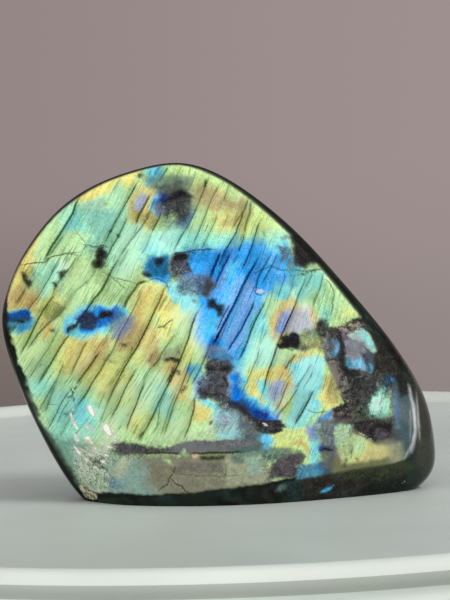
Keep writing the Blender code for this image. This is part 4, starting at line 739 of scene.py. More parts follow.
# The dark cleavage lines: half width in millimetres, darkness, then the points that each passes.
STREAKS = (
    (0.42, 0.95, (-33.7, 79.9), (-35.2, 77.8), (-36.1, 75.2), (-38, 72.4), (-41, 68), (-44.3, 62.5)),
    (0.28, 0.6, (-38.6, 69.8), (-40.6, 66.9), (-42.2, 64.6)),
    (0.24, 0.7, (-40, 63.6), (-41.9, 60), (-45.7, 54), (-47.7, 51.8), (-49.6, 48.8)),
    (0.25, 0.7, (-34.8, 65), (-37, 61.5), (-39.3, 59.2), (-41.2, 56.4), (-42.3, 53.6)),
    (0.34, 0.9, (-40.6, 55.6), (-42.3, 53.4), (-44.4, 50.9), (-47.3, 45.5), (-49.1, 42.4), (-51.4, 38.5)),
    (0.3, 0.75, (-37.2, 53.3), (-39.8, 50), (-42.6, 47.9), (-46, 44.6), (-48.1, 42), (-49.4, 40)),
    (0.85, 0.4, (-35.6, 56), (-38.8, 51.4), (-42.6, 48.2)),
    (0.38, 0.6, (-48.7, 56.4), (-50.2, 54.4), (-51.9, 52.2)),
    (0.22, 0.6, (-39.7, 47.2), (-43.2, 41.4), (-46, 37.4), (-49.8, 31.9)),
    (0.22, 0.4, (-47, 39), (-50.2, 34.6), (-51, 32.6)),
    (0.36, 0.92, (-36.8, 45.4), (-38.8, 43.3), (-41.7, 39), (-44.6, 34.6), (-47.3, 30.8)),
    (0.38, 0.55, (-15.6, 75.2), (-18.7, 70.9), (-22.2, 66.9), (-24.5, 63.3)),
    (0.4, 0.9, (-23.6, 64.8), (-26, 61), (-29, 55.6), (-31.2, 53.4), (-34.9, 48.5), (-38, 44)),
    (0.3, 0.45, (-32.3, 58.4), (-34.2, 56.7), (-36.8, 54.6)),
    (0.24, 0.45, (-30, 61.4), (-31.3, 59.5), (-33.4, 56.6)),
    (0.26, 0.45, (-36, 31), (-34.4, 34), (-32, 37)),
    (0.32, 0.72, (-32.7, 43.2), (-34.1, 41.5), (-36.6, 36.7), (-38, 34)),
    (0.36, 0.9, (-29.9, 40.2), (-31.6, 38), (-34.8, 33.7), (-36.6, 31.4)),
    (0.26, 0.6, (-39.6, 37.4), (-40.8, 34.6), (-42.2, 31.2)),
    (0.32, 0.8, (-25.9, 41.5), (-28.6, 37.6), (-31.7, 32.8), (-34, 29.2), (-37.8, 24.6)),
    (0.3, 0.85, (-18.7, 83.4), (-21.9, 78), (-25.3, 72.3), (-28.2, 66.9)),
    (0.2, 0.4, (-23.4, 84), (-24.6, 81.8), (-25.9, 80)),
    (0.3, 0.8, (-21.6, 74.4), (-24.3, 69.2), (-25.8, 66.9), (-28.4, 62.4)),
    (0.4, 0.75, (-15.9, 79.8), (-17.3, 76.9), (-19, 74.2), (-20, 71.6)),
    (0.3, 0.6, (-14.6, 78.7), (-15.8, 75.8), (-17.4, 73.4)),
    (0.34, 0.75, (-13.1, 75.2), (-13.8, 73.3), (-15.9, 69.7)),
    (0.24, 0.45, (-15.7, 70), (-17.4, 66.3), (-18.6, 64.2)),
    (0.2, 0.35, (-12.7, 69.8), (-13.9, 67.6)),
    (0.22, 0.5, (-21.8, 66), (-23.4, 63), (-24.6, 61.4)),
    (0.18, 0.4, (-25, 64.6), (-26, 62.4)),
    (0.3, 0.6, (-13.2, 87), (-14.9, 84)),
    (0.3, 0.7, (-11.2, 86.4), (-12.6, 84.2), (-13.9, 82.2)),
    (0.25, 0.5, (-7.6, 86.6), (-8.8, 84.5), (-10, 82.2)),
    (0.24, 0.45, (-4, 84.8), (-5.3, 81.9), (-6.3, 80.1)),
    (0.3, 0.75, (-0.5, 84), (-1.8, 81.3), (-3.4, 77.5), (-5.7, 72.6), (-8.1, 69), (-10.8, 64.4)),
    (0.3, 0.65, (2.1, 82), (0.5, 79.3), (-1.1, 75.7), (-3.1, 71.6), (-5.9, 65.4)),
    (0.24, 0.6, (4.4, 81.6), (3.4, 79.2), (2.6, 76.8)),
    (0.22, 0.5, (1.4, 73.9), (0.3, 72), (-1.9, 67.8), (-3.2, 65.3)),
    (0.32, 0.65, (9.2, 77.8), (8.1, 74.8), (6.1, 72.2), (4.6, 70)),
    (0.33, 0.85, (8.1, 75.4), (7.2, 72.6), (4.9, 67.9), (2.6, 64.6), (1, 61.8)),
    (0.45, 0.65, (9.7, 77), (9.2, 73.6), (8.1, 70.2), (7.8, 68.4)),
    (0.26, 0.75, (7.9, 68.8), (7, 66.5), (5.8, 64)),
    (0.32, 0.8, (12.2, 72.4), (11.1, 69.8), (9.9, 66.2), (8, 62.2), (6.4, 59)),
    (0.22, 0.4, (12.8, 67.4), (11.6, 65.2)),
    (0.5, 0.9, (1.6, 64.8), (0.7, 62.4), (-0.4, 60.2), (-2, 56.4)),
    (0.26, 0.7, (2.8, 64.8), (1.9, 62.6), (0.9, 60.6)),
    (0.42, 0.8, (4.2, 64.6), (2.8, 61.8), (0.6, 57.9), (-1, 54.4)),
    (0.2, 0.35, (6.1, 63.8), (4.9, 61.4)),
    (0.45, 0.95, (11.8, 63.6), (9.3, 59.8), (7, 56.1), (4.2, 50.7), (2.2, 47.2), (0, 43.4), (-2.2, 39.6)),
    (0.26, 0.75, (3.6, 51.4), (1.6, 48.2), (-0.2, 44.6)),
    (0.32, 0.7, (14.5, 63.6), (13, 61.2), (10.6, 57.3), (9.7, 53)),
    (0.32, 0.7, (16.1, 63.6), (15, 61.4), (12.6, 57.4), (11.6, 55.6)),
    (0.38, 0.88, (10, 52.6), (8.8, 50), (6.1, 45.1), (3.6, 41.5), (1.9, 39)),
    (0.34, 0.85, (12.7, 52.4), (10.3, 48), (8.3, 43.9), (5.9, 38.7), (4.6, 36.6)),
    (0.24, 0.45, (14.8, 55.4), (13.4, 51), (11.4, 46.7)),
    (0.24, 0.55, (17.6, 58.7), (17.6, 57.2), (16.4, 54.2), (15.6, 52)),
    (0.22, 0.4, (20.2, 56), (18.6, 53), (17.8, 51.2)),
    (0.33, 0.85, (23.9, 58.2), (21.4, 53.3), (19.4, 49.1), (16, 42.5), (13.5, 36.9), (11.9, 32.1),
     (10.2, 27.2)),
    (0.22, 0.5, (25.2, 57.8), (23.6, 55.6), (22.6, 54.2)),
    (0.28, 0.62, (28, 58.2), (26.7, 54), (24.4, 48.8)),
    (0.24, 0.55, (10.5, 40.9), (9.9, 37.7), (7.6, 33.3), (5.3, 28.2)),
    (0.22, 0.35, (12.4, 44.4), (10.5, 40.8)),
    (0.28, 0.75, (19.9, 38.1), (18.6, 36.8), (16.4, 34.2)),
    (0.22, 0.5, (23.9, 35.8), (21.3, 32.3), (18.6, 28.8)),
    (0.22, 0.45, (18.9, 34.2), (17.6, 32.6), (16.4, 30.6)),
    (0.28, 0.6, (17.8, 31.8), (15.8, 27.3), (14, 23.8)),
    (0.3, 0.65, (20.1, 29.8), (17.2, 26), (14.6, 22.8)),
    (0.34, 0.85, (24.2, 29.2), (22.2, 25.6), (19.8, 21.8), (18.6, 19.8)),
    (0.26, 0.5, (27.2, 32.4), (26, 28.2)),
    (0.26, 0.5, (28.6, 31.6), (27.4, 27.6)),
    (0.2, 0.4, (15, 30.4), (14, 28.2), (13.6, 26.4)),
    (0.46, 0.92, (-17, 57.9), (-19.6, 57.2), (-20.9, 55.3), (-22.6, 52.8), (-23.8, 50.6)),
    (0.25, 0.6, (-18.2, 56.3), (-20.1, 52.6), (-22.3, 48.8), (-24.4, 45), (-26.8, 40.2), (-29.5, 36)),
    (0.34, 0.88, (-11.9, 58.2), (-14.3, 52.6), (-17.6, 46.5), (-20, 42), (-23.9, 36), (-27.8, 28.6),
     (-29.4, 25.8)),
    (0.25, 0.5, (-12.2, 54), (-13.2, 52.5), (-14.6, 50)),
    (0.2, 0.38, (-11.2, 53.6), (-12.4, 51.6), (-13.3, 50.1)),
    (0.38, 0.85, (-3.4, 52), (-5.3, 48.9), (-7.3, 43.2), (-9.2, 38.7), (-12.1, 33), (-14.2, 29.1),
     (-16.6, 24.3), (-19.1, 20), (-21.4, 16.2)),
    (0.28, 0.68, (-6, 40), (-8, 35), (-9.9, 30.2), (-11.9, 25.7), (-13.4, 21.4), (-14.9, 17.5)),
    (0.22, 0.5, (-10.6, 30.4), (-12.7, 25.7), (-14.2, 21.4), (-15.6, 18)),
    (0.34, 0.75, (-1.3, 42.6), (-2.5, 40), (-4.6, 35.4), (-7.2, 31)),
    (0.28, 0.6, (-5.8, 36.2), (-7, 34.3), (-8.4, 31.4)),
    (0.25, 0.55, (-10, 45.3), (-12.8, 41.4), (-15.2, 37.8), (-17.4, 35.5), (-20.1, 30.4)),
    (0.34, 0.65, (-13.6, 40.4), (-15, 38), (-17, 35.8)),
    (0.32, 0.82, (-18.4, 33), (-20.8, 27.5), (-22.6, 23.4), (-24.2, 19.2)),
    (0.25, 0.48, (-16.3, 39.8), (-17.9, 37.1)),
    (0.32, 0.75, (-20.4, 36.6), (-23, 32), (-25.9, 26.4), (-28.2, 22.2)),
    (0.25, 0.45, (-25.3, 55.2), (-27.3, 51.6)),
    (0.25, 0.45, (-23.5, 54.8), (-25.7, 51)),
    (0.24, 0.5, (-21.7, 42), (-22.1, 39.2), (-24.4, 36.6)),
    (0.24, 0.55, (-25.4, 33.4), (-27.4, 29.8), (-29, 26.4)),
    (0.28, 0.5, (-12.8, 30.4), (-15, 26.4), (-16.2, 20.8), (-17.5, 18.3)),
    (0.3, 0.8, (-6.1, 29), (-6.6, 25.2), (-7.9, 21.1), (-9.5, 17.2)),
    (0.36, 0.45, (-20.8, 21.6), (-22.2, 18.6)),
    (0.2, 0.35, (-9.6, 19.9), (-11.5, 16.6)),
    (0.18, 0.35, (-0.1, 20.6), (-1.6, 18.4)),
    (0.18, 0.3, (1.4, 21.2), (0.2, 18.6)),
    (0.28, 0.65, (-41.4, 33.4), (-44.2, 28.8), (-46.1, 25.7), (-47, 23.8)),
    (0.42, 0.55, (-41.9, 31.7), (-43.2, 29), (-45.3, 23.8)),
    (0.26, 0.65, (-37.6, 30.8), (-40.2, 27.5), (-43.7, 21), (-45.2, 18.8)),
    (0.26, 0.55, (-38.2, 28), (-40.4, 24.6), (-42.4, 20.6)),
    (0.22, 0.45, (-36.6, 25.4), (-39.8, 20.8), (-42, 17.2)),
    (0.24, 0.4, (-28.9, 30.2), (-31.3, 25)),
    (0.24, 0.55, (-26.2, 31.6), (-28.7, 26.3), (-31, 21.2)),
)

# Cracks, in the same form. They run across the cleavage.
CRACKS = (
    (0.22, 0.75, (-50.6, 62.2), (-46, 62.8), (-43.8, 62.7), (-42.3, 64), (-38.5, 64.9), (-34, 65.5)),
    (0.2, 0.6, (-34, 65.5), (-32.5, 66.9), (-31, 66.5), (-28, 67), (-26.4, 66)),
    (0.16, 0.5, (-38, 64.9), (-35, 64.4)),
    (0.16, 0.5, (-33.8, 65.3), (-35.4, 62.8)),
    (0.16, 0.45, (-36, 71.4), (-32.4, 66.9)),
    (0.2, 0.55, (-28.6, 60.2), (-26.4, 58.9), (-22.4, 58), (-20, 57.2)),
    (0.18, 0.5, (-26.4, 58.9), (-23.6, 56.4), (-22.6, 55.6)),
    (0.2, 0.55, (-17, 57.9), (-14.6, 58.2), (-12.6, 57.3), (-11.6, 55.2)),
    (0.22, 0.75, (-11.4, 64.2), (-9, 64.4), (-5, 65), (0.6, 65.2)),
    (0.22, 0.55, (9.2, 59.1), (10.3, 58.5), (11.6, 59.5), (14.3, 60.2), (16.7, 58.9), (19.6, 59)),
    (0.22, 0.6, (19.6, 59), (22.3, 58.4), (26, 58.6), (27.9, 58.3)),
    (0.2, 0.7, (-15.4, 45.9), (-13.4, 46.4), (-10.9, 48)),
    (0.24, 0.6, (27.8, 56), (29.2, 55.2), (30.2, 53.4), (30.2, 51.6), (29.6, 48.4), (28.8, 46.6)),
    (0.18, 0.5, (9.6, 54.6), (10.2, 53.5), (11.4, 53.1), (12.6, 53.7)),
    (0.16, 0.5, (21.6, 24.2), (24.2, 22.8), (27.6, 23.2)),
    (0.24, 0.8, (-38.2, 30.9), (-37.6, 29.2), (-37.2, 26.9)),
    (0.22, 0.75, (-36.2, 31.6), (-37.5, 29.3), (-39.2, 27.6)),
    (0.18, 0.4, (-44.6, 26.2), (-41.4, 26.4)),
    (0.22, 0.7, (-11.6, 10.6), (-12.6, 8.6), (-13.3, 7.6), (-14.2, 5.8), (-15.8, 4.7), (-16.4, 3.7)),
    (0.22, 0.75, (-13.3, 7.6), (-12, 6), (-10.2, 5.4), (-9.6, 4.2), (-8, 3.2)),
    (0.34, 0.8, (-20, 13.8), (-16, 13.9), (-12.2, 14), (-9.8, 13.4)),
    (0.34, 0.85, (-8.6, 14), (-4, 14), (2.4, 13.9), (6, 14)),
    (0.2, 0.6, (-21.6, 16.4), (-22.4, 14.4)),
    (0.16, 0.45, (0.9, 11), (1, 9), (0.6, 7.4)),
    (0.16, 0.45, (-30.4, 9.8), (-29, 8), (-28.4, 6.4)),
    (0.14, 0.35, (5.4, 7.6), (4.4, 5.6)),
    (0.16, 0.45, (11.6, 8), (10.6, 5.8)),
    (0.2, 0.35, (-12, 8.8), (-6, 8.2), (0, 7.8), (6, 8.2)),
    (0.22, 0.6, (-20.2, 14), (-20.4, 12.4)),
    (0.18, 0.5, (33.4, 19.4), (32.6, 17)),
    (0.2, 0.55, (33.4, 13.6), (33, 10.2)),
    (0.2, 0.55, (29.6, 22.8), (31.4, 23.4), (33.8, 24)),
    (0.2, 0.6, (42, 29.6), (43.4, 26.8)),
)


def cage_points_for(targets):
    """Return ring points whose smooth curve passes through the targets."""
    points = [target.copy() for target in targets]
    count = len(points)
    for _ in range(12):
        curve = [(points[k - 1] + 4 * points[k] + points[(k + 1) % count]) / 6 for k in range(count)]
        for point, target, reached in zip(points, targets, curve):
            point += target - reached
    return points


def back_rim_points(outline):
    """Return the back's rim, inside the outline by a smoothly changing inset."""
    count = len(outline)
    span = count // len(BACK_RIM)
    rim = []
    for k, point in enumerate(outline):
        index, part = divmod(k, span)
        blend = part / span
        inset_a, depth_a = BACK_RIM[index]
        inset_b, depth_b = BACK_RIM[(index + 1) % len(BACK_RIM)]
        inset = inset_a + (inset_b - inset_a) * blend
        depth = depth_a + (depth_b - depth_a) * blend
        along = outline[(k + 1) % count] - outline[k - 1]
        inward = Vector((-along.z, 0.0, along.x)).normalized()
        rim.append(Vector((point.x + inward.x * inset, depth, point.z + inward.z * inset)))
    return rim


def wall_rings():
    """Return the rings of cage points from the face's rim to the back's rim."""
    outline = [Vector((x, 0.0, z)) for x, z in OUTLINE]
    face_rim = [Vector(point) for point in FACE_RIM]
    back_rim = back_rim_points(outline)
    rings = []
    for step in range(SIDE_STEPS + 1):
        depth = WALL_DEPTHS[step]
        reach = WALL_REACHES[step]
        near_rim = face_rim if step <= SIDE_STEPS // 2 else back_rim
        ring = []
        for edge, front, back, rim in zip(outline, face_rim, back_rim, near_rim):
            point = rim.lerp(edge, reach)
            point.y = front.y + (back.y - front.y) * depth
            ring.append(point)
        rings.append(cage_points_for(ring) if step < EXACT_RINGS else ring)
    return rings


def column_at(u, v):
    """Return the column, whole or between two, of a point on the border of the square -1 to 1."""
    side = GRID_STEPS / 2
    if v == -1:
        return side * (1 + u)
    if u == 1:
        return side * (3 + v)
    if v == 1:
        return side * (5 - u)
    return side * (7 - v)


def point_on(ring, column):
    """Return a point of a ring, at a column or between two."""
    first = math.floor(column)
    return ring[first % len(ring)].lerp(ring[(first + 1) % len(ring)], column - first)


def dome_point(ring, top, u, v):
    """Return a point of the dome that rises from a ring to its top."""
    share = max(abs(u), abs(v))
    if share == 0:
        return top.copy()
    rim = point_on(ring, column_at(u / share, v / share))
    point = top.lerp(rim, share)
    point.y = top.y + (rim.y - top.y) * share ** 2
    return point


def set_creases(cage):
    """Sharpen the rims of the face and of the back, while the cage is still a box from -1 to 1."""
    crease = cage.edges.layers.float.new("crease_edge")
    face_sides = ((2, -1.0), (0, 1.0), (2, 1.0), (0, -1.0))
    for edge in cage.edges:
        ends = [vertex.co for vertex in edge.verts]
        for (axis, side), sharpness in zip(face_sides, FACE_CREASES):
            if any(abs(end[axis] - side) > 0.001 for end in ends):
                continue
            if all(end.y < -0.999 for end in ends):
                edge[crease] = sharpness
            elif all(end.y > 0.999 for end in ends):
                edge[crease] = BACK_CREASE


def cage_mesh():
    """Return the stone's cage, with material index 1 on the face, to be told apart later."""
    rings = wall_rings()
    cage = bmesh.new()
    bmesh.ops.create_cube(cage, size=2.0)
    for axis, steps in ((0, GRID_STEPS), (1, SIDE_STEPS), (2, GRID_STEPS)):
        along = [e for e in cage.edges if abs(e.verts[0].co[axis] - e.verts[1].co[axis]) > 1.0]
        bmesh.ops.subdivide_edges(cage, edges=along, cuts=steps - 1, use_grid_fill=True)
    set_creases(cage)
    for quad in cage.faces:
        quad.material_index = int(all(vertex.co.y < -0.999 for vertex in quad.verts))
    for vertex in cage.verts:
        u, depth, v = (round(place, 4) for place in vertex.co)
        if max(abs(u), abs(v)) == 1:
            step = round((depth + 1) / 2 * SIDE_STEPS)
            point = point_on(rings[step], column_at(u, v))
        elif depth < 0:
            point = dome_point(rings[0], Vector(FACE_TOP), u, v)
        else:
            point = dome_point(rings[SIDE_STEPS], Vector(BACK_TOP), u, v)
        vertex.co = point * MM
    mesh = bpy.data.meshes.new("cage")
    cage.to_mesh(mesh)
    cage.free()
    mesh.materials.append(None)
    mesh.materials.append(None)
    return mesh


def smoothed(mesh):
    """Return the mesh after its subdivision, as a bmesh."""
    holder = bpy.data.objects.new("cage", mesh)
    bpy.context.scene.collection.objects.link(holder)
    levels = holder.modifiers.new("smooth", "SUBSURF")
    levels.levels = FINE_LEVELS
    levels.render_levels = FINE_LEVELS
    graph = bpy.context.evaluated_depsgraph_get()
    fine = bmesh.new()
    fine.from_object(holder, graph)
    bpy.data.objects.remove(holder)
    bpy.data.meshes.remove(mesh)
    return fine


def saw_base(fine):
    """Cut the stone flat at the base and close the cut."""
    parts = fine.verts[:] + fine.edges[:] + fine.faces[:]
    cut = bmesh.ops.bisect_plane(
        fine, geom=parts, plane_co=(0, 0, 0), plane_no=(0, 0, 1), clear_inner=True, dist=1e-7)
    border = [part for part in cut["geom_cut"] if isinstance(part, bmesh.types.BMEdge)]
    filled = bmesh.ops.contextual_create(fine, geom=border)
    for base in filled["faces"]:
        base.material_index = 0
    bmesh.ops.triangulate(fine, faces=filled["faces"])


def fine_stone_mesh():
    """Return the fine mesh of the stone, in its place, with the face finer than the rest."""
    fine = smoothed(cage_mesh())
    saw_base(fine)
    face = [quad for quad in fine.faces if quad.material_index == 1 and len(quad.verts) == 4]
    inner = {edge for quad in face for edge in quad.edges if all(f.material_index for f in edge.link_faces)}
    bmesh.ops.subdivide_edges(fine, edges=list(inner), cuts=1, use_grid_fill=True)
    low = [min(vertex.co[axis] for vertex in fine.verts) for axis in range(2)]
    high = [max(vertex.co[axis] for vertex in fine.verts) for axis in range(2)]
    shift = [(cad_low[axis] + cad_high[axis] - low[axis] - high[axis]) / 2 for axis in range(2)]
    bmesh.ops.translate(fine, verts=fine.verts, vec=(shift[0], shift[1], 0))
    bmesh.ops.recalc_face_normals(fine, faces=fine.faces)
    for part in fine.faces:
        part.material_index = 0
        part.smooth = True
    mesh = bpy.data.meshes.new("labradorite_fine")
    fine.to_mesh(mesh)
    fine.free()
    return mesh


def smooth_step(values, low, high):
    """Return 0 below low and 1 above high, with a smooth rise between; low may be above high."""
    share = np.clip((values - low) / (high - low), 0.0, 1.0)
    return share * share * (3.0 - 2.0 * share)


def blend(first, second, share):
    """Return a mix of two sets of values, or of colours, with its share at every place."""
    if first.ndim == 2:
        share = share[:, None]
    return first + (second - first) * share


def sides_of(points):
    """Return the start, the height of the end, the length and the direction of each side of a line."""
    for (ax, az), (bx, bz) in zip(points, points[1:]):
        length = math.hypot(bx - ax, bz - az)
        yield ax, az, bz, length, (bx - ax) / length, (bz - az) / length


def distance_to_line(x, z, points):
    """Return each place's signed distance to a line of points, and how far along it lies, 0 to 1."""
    best = np.full(x.shape, FAR)
    signed = np.full(x.shape, FAR)
    along = np.zeros(x.shape)
    total = sum(math.dist(a, b) for a, b in zip(points, points[1:]))
    done = 0.0
    for ax, az, _, length, ux, uz in sides_of(points):
        part = np.clip((x - ax) * ux + (z - az) * uz, 0.0, length)
        side = (x - ax) * uz - (z - az) * ux
        reach = np.hypot(x - ax - part * ux, z - az - part * uz)
        nearer = reach < best
        best = np.where(nearer, reach, best)
        signed = np.where(nearer, np.where(side < 0, -reach, reach), signed)
        along = np.where(nearer, (done + part) / total, along)
        done += length
    return signed, along


def distance_to_outline(x, z, corners):
    """Return each place's distance to an outline, below 0 inside it."""
    best = np.full(x.shape, FAR)
    inside = np.zeros(x.shape, bool)
    for ax, az, bz, length, ux, uz in sides_of(corners + corners[:1]):
        part = np.clip((x - ax) * ux + (z - az) * uz, 0.0, length)
        best = np.minimum(best, np.hypot(x - ax - part * ux, z - az - part * uz))
        if az != bz:
            crosses = (az > z) != (bz > z)
            inside ^= crosses & (x < ax + (z - az) * ux / uz)
    return np.where(inside, -best, best)


def rounded(corners):
    """Return an outline that passes smoothly through the corners, with four parts to each side."""
    count = len(corners)
    smooth = []
    for k in range(count):
        before, here, after, later = (Vector(corners[(k + step) % count]) for step in (-1, 0, 1, 2))
        for part in (0.0, 0.25, 0.5, 0.75):
            bend = (after - before) * part + (2 * before - 5 * here + 4 * after - later) * part ** 2
            bend += (3 * here - before - 3 * after + later) * part ** 3
            smooth.append(tuple(here + bend / 2))
    return tuple(smooth)


def distance_to_oval(x, z, shape):
    """Return roughly each place's distance to an oval, below 0 inside it."""
    middle_x, middle_z, long, short, tilt = shape
    cosine, sine = math.cos(math.radians(tilt)), math.sin(math.radians(tilt))
    along = (x - middle_x) * cosine + (z - middle_z) * sine
    across = (z - middle_z) * cosine - (x - middle_x) * sine
    share = np.hypot(along / long, across / short)
    slope = np.hypot(along / long ** 2, across / short ** 2) / np.maximum(share, 0.05)
    return (share - 1.0) / np.maximum(slope, 1.0 / long)


def mark_distance(x, z, shape):
    """Return each place's distance to a mark's outline or oval, below 0 inside it."""
    measure = distance_to_outline if isinstance(shape[0], tuple) else distance_to_oval
    return measure(x, z, shape)


def painted(x, z, start, marks, value_of=float):
    """Return the start values, or colours, with the marks laid over them in order."""
    values = start
    for value, shape, soft, most in marks:
        share = most * smooth_step(mark_distance(x, z, shape), soft, -soft)
        values = blend(values, value_of(value), share)
    return values


def linear(colour):
    """Return a colour of 0 to 255 as the linear values that shaders use."""
    shares = [part / 255.0 for part in colour]
    return tuple(s / 12.92 if s <= 0.04045 else ((s + 0.055) / 1.055) ** 2.4 for s in shares) + (1.0,)


def tone_of(colour):
    """Return a colour of 0 to 255 as three linear values."""
    return np.array(linear(colour)[:3])


def flash_at(hue):
    """Return the colour at a place on the scale of the flash."""
    places, colours = zip(*FLASH_COLOURS)
    channels = zip(*(tone_of(colour) for colour in colours))
    return np.array([np.interp(hue, places, channel) for channel in channels])


def solidity(x, z, marks, reach):
    """Return how solid the nearest marks are: their value inside, and falling to 0 within reach."""
    values = np.zeros(x.shape)
    for value, shape, _, _ in marks:
        rise = 0.5 - mark_distance(x, z, shape) / (2.0 * reach)
        values = np.maximum(values, np.clip(rise, 0.0, 1.0) * value)
    return values


def line_values(x, z, lines):
    """Return, for the nearest of the lines, the distance in half widths and the darkness."""
    best = np.full(x.shape, FAR)
    offset = np.full(x.shape, MOST_HALF_WIDTHS)
    darkness = np.zeros(x.shape)
    for half_width, dark, *points in lines:
        signed, along = distance_to_line(x, z, points)
        reach = np.abs(signed)
        ends = smooth_step(np.minimum(along, 1.0 - along), -0.01, 0.16)
        near = smooth_step(reach, 1.4 * half_width + 0.85, 1.4 * half_width + 0.5)
        nearer = reach / half_width < best
        best = np.where(nearer, reach / half_width, best)
        offset = np.where(nearer, signed / half_width, offset)
        darkness = np.where(nearer, dark * near * (0.15 + 0.85 * ends), darkness)
    return np.clip(offset, -MOST_HALF_WIDTHS, MOST_HALF_WIDTHS), darkness


def line_shade(x, z, lines):
    """Return the soft shade that falls off from each line, wider on one of its sides."""
    light = np.ones(x.shape)
    for number, (half_width, dark, *points) in enumerate(lines):
        signed, along = distance_to_line(x, z, points)
        ends = smooth_step(np.minimum(along, 1.0 - along), -0.02, 0.2)
        side = 1.0 if number % 3 else -1.0
        wide = 0.7 + 2.2 * half_width + 0.25 * (number % 4)
        fall = np.exp(-np.abs(signed) / np.where(signed * side > 0, wide, 0.35))
        light *= 1.0 - 0.75 * dark * ends * fall
    return 1.0 - light


def spread_groups(lines, count):
    """Share the lines out over groups, so that the lines of one group lie well apart."""
    groups = [[] for _ in range(count)]
    for line in sorted(lines, key=lambda line: sum(across_of(*p) for p in line[2:]) / len(line[2:])):
        x, z = (np.array(places) for places in zip(*dense_points(line[2:])))
        gaps = [min((np.abs(distance_to_line(x, z, other[2:])[0]).min() for other in group), default=FAR)
                for group in groups]
        groups[gaps.index(max(gaps))].append(line)
    return groups


def dense_points(points):
    """Return the points of a line and four more between each two."""
    dense = [points[-1]]
    for (ax, az), (bx, bz) in zip(points, points[1:]):
        dense += [(ax + (bx - ax) * k / 5, az + (bz - az) * k / 5) for k in range(5)]
    return dense


def across_of(x, z):
    """Return where a place lies across the cleavage, which fans out a little towards the left."""
    height = z - 45.0
    return x - 0.5 * height + 0.0045 * x * height


def noise_pair(places):
    """Return two smooth random fields, about -1 to 1, at places measured in lengths of their waves."""
    return np.array([noise.noise_vector(place)[:2] for place in places.tolist()]).T


def noise_field(x, z, size, seed):
    """Return two random fields over the face, whose waves are about size long."""
    return noise_pair(np.stack([x / size, z / size, np.full(x.shape, seed)], axis=1))


def solid_noise(places, size, seed):
    """Return two random fields that run right through the stone."""
    return noise_pair(places / size + (seed, 0.0, 0.0))


def vertex_values(mesh, name):
    """Return the place or the normal of every vertex of a mesh."""
    values = np.empty(len(mesh.vertices) * 3, np.float32)
    mesh.vertices.foreach_get(name, values)
    return values.reshape(-1, 3)


def add_values(mesh, name, *three):
    """Keep three values a vertex on the mesh, as a vector."""
    kept = mesh.attributes.new(name, "FLOAT_VECTOR", "POINT")
    kept.data.foreach_set("vector", np.stack(three, axis=1).astype(np.float32).ravel())


def chip_corner(mesh, x, z, front):
    """Sink the flake that broke off the lower left corner, with a rough floor."""
    inside = smooth_step(distance_to_outline(x, z, CHIP), 0.25, -0.9) * front
    rough, _ = noise_field(x, z, 1.1, 5.0)
    depth = CHIP_DEPTH * inside * (1.0 + 0.45 * rough)
    moved = vertex_values(mesh, "co") - vertex_values(mesh, "normal") * (depth * MM)[:, None]
    moved[:, 2] = np.maximum(moved[:, 2], 0.0)
    mesh.vertices.foreach_set("co", moved.ravel())
    return inside


def face_share(x, z):
    """Return 1 inside the rim of the polished face and 0 outside it, with a narrow change between."""
    rim = rounded([(point[0], point[2]) for point in FACE_RIM])
    crisp = 0.7 - 0.4 * smooth_step(z, 14.0, 9.0)
    thin = smooth_step(z, 48.0, 56.0) * (0.25 + 0.20 * smooth_step(x, 20.0, 5.0))
    return smooth_step((thin - distance_to_outline(x, z, rim)) / crisp, -1.0, 1.0)


def wall_colours(places):
    """Return the colours of the walls and the back: dark green and grey, paler on the right wall."""
    x, depth, z = places.T
    wide, other = solid_noise(places, 8.0, 4.0)
    tight, small = solid_noise(places, 2.4, 5.0)
    back = smooth_step(depth, 5.0, 10.0)
    right = smooth_step(x, 47.0, 54.0) * smooth_step(z, 44.0, 28.0) * smooth_step(depth, 14.0, 3.0)
    colours = np.tile(tone_of(BLACK), (len(x), 1))
    for colour, share in (
            (DARK_GREEN, smooth_step(wide + 0.3 * tight, -0.3, 0.3)),
            (CHARCOAL, smooth_step(tight, 0.05, 0.5) * smooth_step(wide, 0.3, -0.1)),
            (SEA_GREEN, 0.8 * smooth_step(other + 0.4 * small, 0.08, 0.5)),
            (SMOKE, back * smooth_step(wide - 0.3 * small, 0.12, 0.42)),
            (DARK_GREEN, 0.8 * smooth_step(z, 40.0, 55.0)),
            (RIGHT_WALL, right)):
        colours = blend(colours, tone_of(colour), share)
    return colours


def back_flash(places):
    """Return the colours of the flash on the back, and how strong it is there."""
    wide, other = solid_noise(places, 17.0, 8.0)
    tight, small = solid_noise(places, 3.4, 9.0)
    hue = np.clip(0.34 + 0.75 * other + 0.12 * small, 0.06, 0.72)
    glow = 0.62 * smooth_step(places[:, 1], 5.0, 9.0) * smooth_step(wide + 0.3 * tight, 0.0, 0.34)
    return flash_at(hue).T, glow


def body_colours(places, soft, face, front):
    """Return the colours of the stone where it doesn't flash: its face, bevel, walls and back."""
    walls = wall_colours(places)
    walls = blend(walls, painted(*soft, walls, BEVEL_TONES, tone_of), front)
    tones = painted(*soft, np.tile(tone_of(OLIVE), (len(places), 1)), TONES, tone_of)
    return blend(walls, tones, face)


